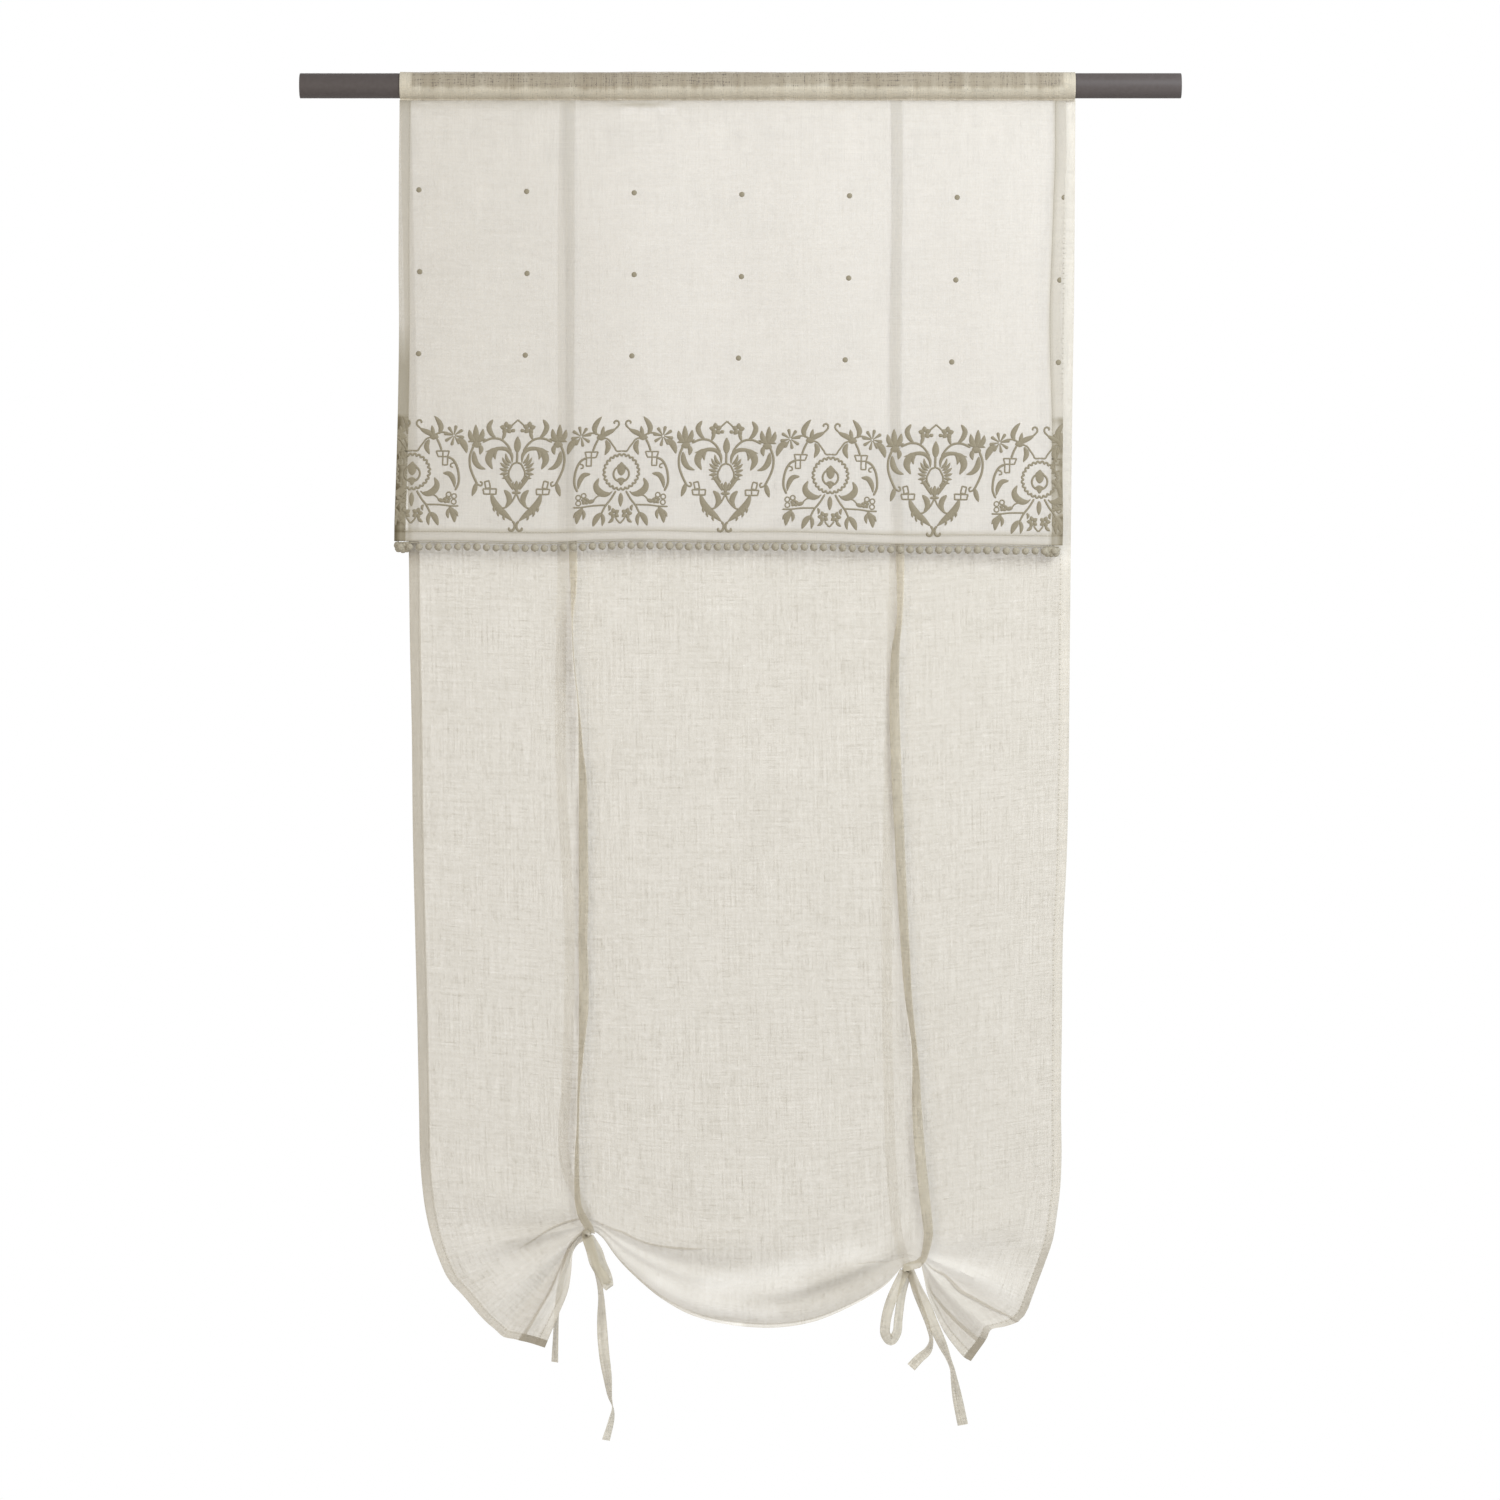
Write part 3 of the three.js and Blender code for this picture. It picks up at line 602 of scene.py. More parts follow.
def makeHeading():
    section = headingSection()
    left, right, hem = heading["left"], heading["right"], heading["hem"]
    x = np.unique(np.concatenate([
        np.linspace(left - hem, right + hem, heading["columns"]),
        [left - foldStep, left, left + foldStep, right - foldStep, right, right + foldStep],
        [left + hem - foldStep, left + hem + foldStep],
        [right - hem - foldStep, right - hem + foldStep],
    ]))
    place = np.where(x < left, 2 * left - x, np.where(x > right, 2 * right - x, x))
    beyond = np.maximum(np.maximum(left - x, x - right), 0)
    length = lengthsAlong(section)
    turn = (length / length[-1])[:, None]
    (wave, twist), (swell, start), (fineWave, fineTwist) = heading["waves"]
    rumple = heading["rumple"] * np.sin(math.pi * turn) * (
        np.sin(place * wave + twist * turn) * np.sin(place * swell + start)
        + heading["fineRumple"] * np.sin(place * fineWave + fineTwist * turn)
    )
    behind = heading["hemGap"] * smoothStep(beyond, 0, foldReach)
    out = np.maximum(rumple, heading["inward"]) - behind
    away = section / np.linalg.norm(section, axis=1, keepdims=True)
    rows, columns = len(section), len(x)
    points = np.empty((rows, columns, 3))
    points[..., 0] = place
    points[..., 1] = section[:, :1] + away[:, :1] * out
    points[..., 2] = section[:, 1:] + away[:, 1:] * out
    uv = np.stack(np.broadcast_arrays(x[None, :], length[:, None]), -1).reshape(-1, 2) * mm
    side = np.minimum(place - left, right - place)
    atSides = 1 - smoothStep(side, hem - 3 * edgeBlur, hem + edgeBlur)
    # paler below, where the turned-in edge lies behind the front, and that edge is ragged
    strands = np.random.default_rng(7)
    coarse, narrow = [
        np.interp(place, np.linspace(left, right, count), strands.normal(0, 1, count))
        for count in heading["strandCounts"]
    ]
    rise, swing = heading["flapWave"]
    edge = heading["flapTop"] + rise * np.sin(place * swing + 1) + heading["ragged"] * (coarse + narrow)
    blur = heading["flapBlur"]
    lined = smoothStep(edge[None, :] - points[..., 2], -blur, blur) * (section[:, :1] < -1)
    lined = lined * mix(1.0, heading["seamShade"], smoothStep(-points[..., 2], *heading["seamFade"]))
    # and streaky above, where the threads stand closer in places
    streaks = heading["streaks"] * (0.5 * coarse + narrow) * (1 - 0.6 * lined)
    layersAndShading = np.maximum(atSides, lined) + streaks * (1 - atSides)
    piece = newPiece(
        "headingPocket", points.reshape(-1, 3) * mm, gridFaces(rows, columns)[:, ::-1], uv,
        headingCloth, ["heading"], layersAndShading,
    )


makeHeading()
print("heading made")


# Main panel, lifted by two pairs of ties: a swag in the middle and a wing on either side

# tones are stops across or down the cloth and how much denser than plain cloth it looks there,
# from its layers and from painted light and shade; lines are a strength and a width
panel = {
    "top": -17.8, "drop": 1372, "flatWidth": 700, "sideHem": 11.5, "bottomHem": 10, "hemGap": 0.6,
    "wingColumns": 56, "swagColumns": 120, "swagStart": 960, "edgeStart": 1290, "softness": 12,
    "sagPower": 1.6, "heldPower": 0.6, "riseReach": 2.2, "fadeFrom": 0.45,
    "bottomTones": (
        (0, 0.24, 0.28, 0.36, 0.4, 0.7, 0.74, 0.78, 1),
        (-1.2, -1.2, -0.3, -0.5, -2.7, -2.7, -1.8, -1.8, -1.2),
    ),
    "facetTones": (
        (0, 0.2, 0.24, 0.5, 0.56, 0.71, 0.75, 0.79, 1), (0.2, 0.2, 0, 0, 0.2, 0.2, 0, 0.2, 0.2),
    ),
    "leftHemTones": ((0, 1100, 1200, 1372), (0.3, 0.3, -0.8, -0.8)),
    "rightHemTones": (
        (0, 420, 500, 1185, 1235, 1296, 1306, 1335, 1345, 1372),
        (-1.8, -1.8, -1.4, -1.2, 0.3, 0.2, -0.9, -0.9, 0.7, 0.7),
    ),
    "foldLine": (1.0, 1.0), "innerLine": (0.8, 0.8), "sideLine": (0.25, 1.0), "rightLine": (0.4, 0.8),
    "cornerTones": (3.6, 1.8), "tuckTone": -1.4, "tuckDepth": 1.0, "tuckFade": 45, "tuckEase": 1.5,
}
leftHold = {"across": 0.258, "topX": -171, "knotX": -160, "knotZ": -1178, "gather": 13}
rightHold = {"across": 0.735, "topX": 163, "knotX": 187, "knotZ": -1206, "gather": 15}
leftHemPath = [
    (-353.5, -17.8), (-350, -170), (-346.5, -357), (-344, -490), (-343, -575), (-341, -670),
    (-340, -770), (-338, -860), (-335.5, -960), (-333.5, -1060), (-332.5, -1110), (-330, -1142),
    (-326.5, -1168), (-320.5, -1194), (-312, -1219), (-303, -1238), (-286, -1257), (-266, -1280),
    (-255, -1290), (-246, -1298), (-234, -1300), (-225, -1302), (-203, -1309),
]
rightHemPath = [
    (347.5, -17.8), (346, -222), (344, -350), (342.5, -492), (341.5, -600), (340, -741),
    (338, -810), (334.5, -880), (333.5, -969), (332.5, -1060), (333, -1114), (331.5, -1145),
    (328, -1172), (324, -1197), (318, -1215), (309.5, -1238), (301.5, -1259), (297, -1271),
    (290, -1281), (275, -1287), (260, -1290), (255, -1300), (239, -1323),
]
swagDrops = [
    {"at": at, "drop": drop} for at, drop in [
        (0, 0), (0.02, -3.5), (0.05, 3), (0.08, 16.8), (0.11, 28.5), (0.15, 41), (0.19, 52),
        (0.23, 61.2), (0.3, 73), (0.38, 79.6), (0.47, 81.8), (0.55, 80.8), (0.63, 75.8), (0.7, 67.8),
        (0.78, 53.5), (0.85, 38.4), (0.9, 24.5), (0.95, 5), (1, 0),
    ]
]
leftWingEdge = [
    {"out": out, "bow": bow} for out, bow in [
        (0, 0), (0.06, -6.5), (0.2, -6), (0.33, -1.5), (0.5, 2.5), (0.7, 1.7), (1, 0),
    ]
]
rightWingEdge = [
    {"out": out, "bow": bow} for out, bow in [
        (0, 0), (0.13, -4), (0.28, -8.5), (0.47, -10.5), (0.65, -11), (0.8, -8.5), (0.94, -4.5), (1, 0),
    ]
]
# folds that fan out from each knot: place along the cloth's length, width, how far forward,
# and how much of it is left at the outer hem
leftFolds = [
    (1150, 26, 5.5, 0.2), (1215, 16, 6, 0.1), (1252, 18, -2, 0.3),
    (1290, 16, 5, 0.5), (1322, 9, -4, 0.6), (1345, 8, 5, 1),
]
rightFolds = [
    (1185, 28, 6, 0.2), (1245, 16, -1.5, 0.3), (1275, 12, 4.5, 0.4),
    (1303, 12, -2, 0.6), (1330, 9, 5, 0.9), (1362, 12, -1.5, 0.7),
]
# folds of the swag: place at its left and right end, width, forward, where it is fullest, spread
swagFolds = [
    (1110, 1130, 50, 4, 0.5, 0.4), (1190, 1130, 24, 10, 0.25, 0.25), (1250, 1250, 24, 4, 0.15, 0.2),
    (1390, 1180, 34, 11, 0.72, 0.25), (1330, 1330, 30, 6, 0.45, 0.4),
]
leftHemLine = smoothLine(leftHemPath)
rightHemLine = smoothLine(rightHemPath)


def holdLine(hold, down):
    free = panel["top"] - hold["knotZ"]
    soft = panel["softness"]
    reach = free - soft * np.logaddexp(0, (free - down) / soft)
    bunched = hold["gather"] * np.maximum(0, (down - free) / (panel["drop"] - free))
    x = mix(hold["topX"], hold["knotX"], (reach / free) ** 2)
    return np.stack([x, np.zeros_like(x), panel["top"] - reach - bunched], -1)


def wingSurface(hold, hemLine, edge, folds, out, down):
    inner = holdLine(hold, down)
    flat = alongLine(hemLine, np.clip(down / panel["drop"], 0, 1))
    outer = np.stack([flat[..., 0], np.zeros_like(down), flat[..., 1]], -1)
    points = mix(inner, outer, out[..., None])
    along = outer - inner
    along /= np.linalg.norm(along, axis=-1, keepdims=True)
    push = smoothStep(down, panel["edgeStart"], panel["drop"]) * readTable(edge, "out", out, "bow")
    points[..., 0] -= along[..., 2] * push
    points[..., 2] += along[..., 0] * push
    rise = np.sin(np.minimum(out * panel["riseReach"], 1) * math.pi / 2)
    for place, width, forward, atHem in folds:
        fade = mix(1, atHem, smoothStep(out, panel["fadeFrom"], 1))
        points[..., 1] -= forward * bell(down, place, width) * rise * fade
    return points


def swagSurface(t, down):
    points = mix(holdLine(leftHold, down), holdLine(rightHold, down), t[..., None])
    low = np.maximum(down - panel["swagStart"], 0) / (panel["drop"] - panel["swagStart"])
    points[..., 2] -= low ** panel["sagPower"] * readTable(swagDrops, "at", t, "drop")
    held = np.sin(math.pi * np.clip(t, 0, 1)) ** panel["heldPower"]
    for leftDown, rightDown, width, forward, fullest, spread in swagFolds:
        ridge = mix(leftDown, rightDown, t)
        points[..., 1] -= forward * bell(down, ridge, width) * bell(t, fullest, spread) * held
    return points


def panelSurface(across, down):
    points = np.empty(across.shape + (3,))
    left, right = across <= leftHold["across"], across >= rightHold["across"]
    middle = ~left & ~right
    out = 1 - across[left] / leftHold["across"]
    points[left] = wingSurface(leftHold, leftHemLine, leftWingEdge, leftFolds, out, down[left])
    out = (across[right] - rightHold["across"]) / (1 - rightHold["across"])
    points[right] = wingSurface(rightHold, rightHemLine, rightWingEdge, rightFolds, out, down[right])
    t = (across[middle] - leftHold["across"]) / (rightHold["across"] - leftHold["across"])
    points[middle] = swagSurface(t, down[middle])
    return points


# pressed tucks that run across the cloth: where along its length, and how far it laps over.
# Below zero it doesn't lap. The upper one laps downwards, and the lower one laps upwards.
upperTuck = [
    {"across": across, "place": place, "lap": lap} for across, place, lap in [
        (0, 1245, -3), (0.1, 1240, -3), (0.13, 1238, -3), (0.141, 1235, 1.5), (0.164, 1228, 4),
        (0.219, 1192, 7), (0.245, 1177, 5), (0.258, 1176, 1), (0.281, 1190, 3), (0.307, 1182, 5),
        (0.335, 1187, 5), (0.359, 1184, 4), (0.393, 1178, 4), (0.42, 1173, 1.5), (0.44, 1168, -1),
        (0.48, 1165, -3), (0.6, 1165, -3), (0.67, 1170, -3), (0.71, 1240, -3), (0.735, 1290, -3),
        (0.75, 1308, 2), (0.767, 1316, 4), (0.801, 1308, 5.5), (0.854, 1315, 6), (0.894, 1311, 5),
        (0.938, 1307, 3.5), (0.973, 1303, 2), (1, 1302, 1),
    ]
]
lowerTuck = [
    {"across": across, "place": place, "lap": lap} for across, place, lap in [
        (0, 1343, 4), (0.027, 1343, 4), (0.055, 1342, 4), (0.111, 1339, 4), (0.178, 1331, 3),
        (0.205, 1320, 1), (0.22, 1312, -3), (0.258, 1300, -3), (0.3, 1290, -3), (0.4, 1290, -3),
        (0.5, 1282, -3), (0.522, 1278, -3), (0.558, 1270, -3), (0.602, 1228, -3), (0.63, 1208, -1),
        (0.65, 1208, 3), (0.673, 1217, 4), (0.7, 1262, 3), (0.718, 1297, 2), (0.735, 1318, -2),
        (0.76, 1335, -3), (0.78, 1350, 1), (0.807, 1355, 4), (0.859, 1350, 5), (0.914, 1346, 5),
        (0.969, 1345, 5), (1, 1345, 5),
    ]
]
# soft darker and lighter places: path in x and z, width, strength
shadePaths = [
    ([(-166, -1174), (-186, -1181), (-208, -1192), (-232, -1204)], 13, 0.5),
    ([(-176, -1200), (-194, -1222), (-214, -1248), (-234, -1280)], 8, 0.2),
    ([(-166, -1198), (-180, -1222), (-190, -1250), (-200, -1280)], 7, -0.8),
    ([(-280, -1241.6), (-262, -1230)], 2, 0.5),
    ([(-184, -1200), (-222, -1226), (-250, -1250)], 12, -0.25),
    ([(-176, -560), (-172, -640), (-170, -735)], 4, -0.8),
    ([(170, -490), (168, -600), (164.5, -700)], 4, -0.7),
    ([(-128, -1184), (-96, -1193), (-60, -1199), (-20, -1201)], 7, 0.35),
    ([(-122, -1200), (-96, -1218), (-60, -1238), (0, -1255), (50, -1246)], 20, -0.75),
    ([(206, -1212), (254, -1222), (286, -1238)], 24, -0.6),
    ([(202, -1219), (242, -1236), (278, -1258)], 11, -0.7),
    ([(197.5, -1245), (222, -1272), (242, -1294)], 2, 0.35),
    ([(10, -1262), (51, -1257), (93, -1243), (134, -1226), (165, -1207)], 10, 0.6),
    ([(-30, -1242), (20, -1233), (62, -1223), (103, -1213), (138, -1211)], 12, -0.8),
    ([(-270, -1205), (-240, -1225)], 22, -0.35),
    ([(-90, -1240), (-50, -1261), (0, -1272), (35, -1272)], 8, -0.7),
    ([(-60, -1270), (-40, -1276), (-20, -1277.5), (2, -1279.5), (22, -1281)], 1.5, 0.7),
    ([(-44, -1280), (-24, -1283.5), (0, -1285)], 2.2, -1.2),
    ([(-350, -483), (336, -486)], 7, -0.9),
]


def panelColumns():
    hem = panel["sideHem"] / panel["flatWidth"]
    fine = foldStep / panel["flatWidth"]
    folds = [0, 1, hem, 1 - hem]
    stops = np.concatenate([
        np.linspace(-hem, 0, 4), np.linspace(0, leftHold["across"], panel["wingColumns"]),
        np.linspace(leftHold["across"], rightHold["across"], panel["swagColumns"]),
        np.linspace(rightHold["across"], 1, panel["wingColumns"]), np.linspace(1, 1 + hem, 4),
        np.array(folds) - fine, np.array(folds) + fine,
    ])
    return np.unique(np.round(stops, 6))


def panelRows(inside):
    # how far along the cloth's length each row lies in each column, with the tucks folded in
    upper = readTable(upperTuck, "across", inside, "place")
    upperLap = readTable(upperTuck, "across", inside, "lap")
    lower = readTable(lowerTuck, "across", inside, "place")
    lowerLap = readTable(lowerTuck, "across", inside, "lap")
    drop, hem = panel["drop"], panel["bottomHem"]
    level = np.ones_like(inside)
    # each stop down the cloth, and how many rows lead to it
    stops = [
        (0 * level, 1), (panel["swagStart"] * level, 50), (upper, 36), (upper - upperLap, 4),
        (lower + lowerLap, 30), (lower, 4), (level * (drop - hem - foldStep), 16),
        (level * (drop - hem + foldStep), 1), (level * (drop - 4 * foldStep), 3),
        (level * (drop - foldStep), 2), (level * drop, 1), (level * (drop + foldStep), 1),
        (level * (drop + hem), 4),
    ]
    rows, band = [stops[0][0]], [0]
    for i in range(1, len(stops)):
        before, (after, count) = stops[i - 1][0], stops[i]
        for share in np.linspace(0, 1, count + 1)[1:]:
            rows.append(mix(before, after, share))
            band.append(i - 1 + share)
    down, band = np.array(rows), np.array(band)[:, None]
    ease, fade = panel["tuckEase"], panel["tuckFade"]
    upperOn, lowerOn = smoothStep(upperLap, 0, ease), smoothStep(lowerLap, 0, ease)
    # rows from band 2 to 3 and from 4 to 5 run back up or down inside a tuck
    under = np.clip(band - 2, 0, 1) * np.exp(-np.maximum(down - upper, 0) / fade)
    over = (1 - np.clip(band - 4, 0, 1)) * np.exp(-np.maximum(lower - down, 0) / fade)
    over = over * np.clip((band - 3) * 4, 0, 1)
    depth = panel["tuckDepth"] * (upperOn * under + lowerOn * over)
    lapped = upperOn * ((band > 2) & (band <= 3)) + lowerOn * ((band > 4) & (band <= 5))
    return down, depth, band, lapped


def softBand(points, path, width):
    # 1 along a path in x and z, falling off to 0 beside it
    line = smoothLine(path, 8)
    nearest = np.full(points.shape[:2], np.inf)
    for x, z in line:
        nearest = np.minimum(nearest, (points[..., 0] - x) ** 2 + (points[..., 2] - z) ** 2)
    return np.exp(-nearest / width ** 2)


def makePanel():
    columns = panelColumns()
    inside = np.where(columns < 0, -columns, np.where(columns > 1, 2 - columns, columns))
    down, depth, band, lapped = panelRows(inside)
    across = np.broadcast_to(inside, down.shape)
    turned = np.where(down > panel["drop"], 2 * panel["drop"] - down, down)   # back up past the fold
    points = panelSurface(across, turned)
    width, hem = panel["flatWidth"], panel["sideHem"]
    beyond = np.maximum(np.maximum(-columns, columns - 1) * width, 0)
    drop, low = panel["drop"], panel["drop"] - panel["bottomHem"]
    behind = smoothStep(beyond, 0, foldReach) + smoothStep(down, drop, drop + foldReach)
    points[0, :, 2] = heading["seamZ"]
    points[..., 1] += depth + panel["hemGap"] * behind
    side = np.minimum(across, 1 - across) * width
    leftSide = across < 0.5
    # the side hems' tones down their length are their doubled cloth with painted light and shade over it:
    # below zero a hem is drawn paler than plain cloth
    hemTone = np.where(
        leftSide, np.interp(down, *panel["leftHemTones"]), np.interp(down, *panel["rightHemTones"])
    )
    inSideHem = 1 - smoothStep(side, hem - edgeBlur, hem + edgeBlur)
    inBottomHem = smoothStep(turned, low - edgeBlur, low + edgeBlur)
    layersAndShading = hemTone * inSideHem
    # the bottom hem is dark at the left of the swag and light from its lowest point on: painted shade
    # and painted light over its doubled cloth. The facets below the lower tuck are drawn darker, partly
    # for cloth folded up behind and partly as painted shade
    bottomTone = np.interp(across, *panel["bottomTones"])
    facetTone = np.interp(across, *panel["facetTones"])
    cloth = (1 - inBottomHem) * (1 - inSideHem)
    layersAndShading += inBottomHem * bottomTone * (1 - inSideHem)
    layersAndShading += facetTone * (band >= 5) * cloth
    # thin darker lines along the hem's fold and its inner edge
    layersAndShading += thinLine(turned, drop, panel["foldLine"]) + thinLine(turned, low, panel["innerLine"])
    layersAndShading += thinLine(side, 0, panel["sideLine"])
    layersAndShading += thinLine(side, hem, panel["rightLine"]) * ~leftSide
    # three layers lie on one another where a tuck laps, and each is drawn paler: painted light that
    # takes back the shade between them
    layersAndShading += panel["tuckTone"] * lapped
    # where a lapped corner puts one hem on another
    layersAndShading += inSideHem * (band >= 5) * np.where(leftSide, *panel["cornerTones"])
    for path, spread, strength in shadePaths:
        layersAndShading += strength * softBand(points, path, spread)
    length = np.cumsum(np.abs(np.diff(down, axis=0, prepend=0)), axis=0)
    uv = np.stack([np.broadcast_to(columns * width, down.shape), -length], -1).reshape(-1, 2) * mm
    piece = newPiece(
        "mainPanel", points.reshape(-1, 3) * mm, gridFaces(*down.shape), uv, panelCloth,
        ["main_panel"], layersAndShading,
    )
    return piece, points, columns


mainPanel, panelPoints, panelColumnPlaces = makePanel()
print("main panel made")

# the seams that hold the panel's hems down
panelSeam = {"pitch": 3.2, "length": 2.3, "width": 0.45, "raise": 0.3, "lift": 0.6, "sunk": 0.3}
ladderSeam = {
    "pitch": 5.2, "length": 2.6, "width": 0.6, "raise": 0.35, "lift": 0.6, "sunk": 0.3, "crosswise": True,
}


def makePanelSeams():
    # a column of the panel's grid is a line down the cloth; its last six rows are the turned-up hem,
    # and the twelfth from the end lies along the hem's inner edge
    hem = panel["sideHem"] / panel["flatWidth"]
    front = panelPoints[:-6]
    left = front[:, np.argmin(abs(panelColumnPlaces - hem * 0.9))]
    right = front[:, np.argmin(abs(panelColumnPlaces - (1 - hem * 0.95)))]
    bottomRow = panelPoints[-12]
    across = (panelColumnPlaces > hem) & (panelColumnPlaces < 1 - hem)
    vertices, faces = joinMeshes([
        stitchMesh(left, panelSeam), stitchMesh(right, ladderSeam),
        stitchMesh(bottomRow[across], panelSeam),
    ])
    uv = vertices[:, [0, 2]] * mm
    return newPiece("panelSeams", vertices * mm, faces, uv, sewingThread)


panelSeams = makePanelSeams()
print("panel seams made")


# Valance, the short front layer, with its pompom trim

# pairs of tones are for its left and right side; worked: where the embroidered cloth is turned in
# with a side hem, its reach up from the lower edge and how unevenly its threads shade it
valance = {
    "top": -15.4, "drop": 457.4, "topY": -2.6, "forward": 9, "wave": 1.5, "waves": 3.5, "hang": 160,
    "sideHem": 11.5, "bottomHem": 10, "hemGap": 0.6, "columns": 160, "rows": 100, "flatWidth": 690,
    "dip": 1.2, "dipFrom": (300, 455), "slope": 2.2, "slopeFrom": (100, 455),
    "lift": 2.0, "liftAt": (0.38, 0.16), "sag": 1.6, "sagFrom": (0.7, 0.95),
    "leftHemTones": ((0, 230, 275, 458), (0.6, 0.6, 1.8, 1.8)), "rightHemTone": 0.7,
    "bottomHemTones": (0.2, 0.4), "bottomHemFrom": (0.3, 0.9),
    "workedHemTones": (0.7, 0.9), "workedTop": (132, 126),
    "workedFolds": (2.4, 1.6), "workedFold": (1.2, 2.4),
    "workedUneven": 1.0, "workedReach": (140, -12), "workedEnd": 16, "workedCount": 120, "workedSlant": 9,
    "sideLines": (0.3, 0.9), "besideHem": (1.3, 2.5, 2.2), "besideFrom": (300, 420),
    "leftShade": 0.3, "leftShadeTo": (0.05, 0.45), "puckerShade": (0.6, 0.25), "puckerShadeTo": (0.3, 0.6),
    "foldLine": (1.5, 1.0), "innerLine": (1.4, 0.9),
}
valanceShades = [
    ([(-146, -17), (-110, -19.5), (-72, -17.5)], 1.8, 1.5),
    ([(-120, -25), (-70, -25)], 3, -0.5),
]
valanceEdges = [
    {"down": down, "left": left, "right": right} for down, left, right in [
        (0, -353.5, 337.5), (60, -354, 337.4), (93, -354, 336), (134, -354, 334.4),
        (176, -354, 332.7), (228, -353.6, 331.2), (279, -354, 332.2), (331, -355, 333.9),
        (383, -356.4, 333.4), (435, -358.2, 334), (455, -358.5, 333.5),
    ]
]


def valanceSurface(across, down):
    left = readTable(valanceEdges, "down", down, "left")
    right = readTable(valanceEdges, "down", down, "right")
    hang = smoothStep(down, 0, valance["hang"])
    wave = valance["wave"] * np.sin(across * valance["waves"] * 2 * math.pi)
    y = valance["topY"] - hang * (valance["forward"] + wave)
    # its lower edge waves a little, rises left of the middle and hangs lower towards the right
    uneven = np.sin(across * 17 + 1) * np.sin(across * 7)
    dip = valance["dip"] * uneven * smoothStep(down, *valance["dipFrom"])
    lift = valance["lift"] * bell(across, *valance["liftAt"])
    pulled = lift - valance["sag"] * smoothStep(across, *valance["sagFrom"])
    dip = dip + (pulled - valance["slope"] * across) * smoothStep(down, *valance["slopeFrom"])
    return np.stack([mix(left, right, across), y, valance["top"] - down + dip], -1)


def valancePlace(x, up):
    # a point on the valance from x and the height above its lower edge; past a side edge it lies
    # on the hem, which is turned in twice behind the front
    down = valance["drop"] - np.asarray(up, float)
    left = readTable(valanceEdges, "down", down, "left")
    right = readTable(valanceEdges, "down", down, "right")
    over = np.maximum(np.maximum(left - x, x - right), 0)
    hem = valance["sideHem"]
    back = hem - np.abs(over % (2 * hem) - hem)
    inside = np.where(x < left, left + back, np.where(x > right, right - back, x))
    points = valanceSurface((inside - left) / (right - left), down)
    return points, over


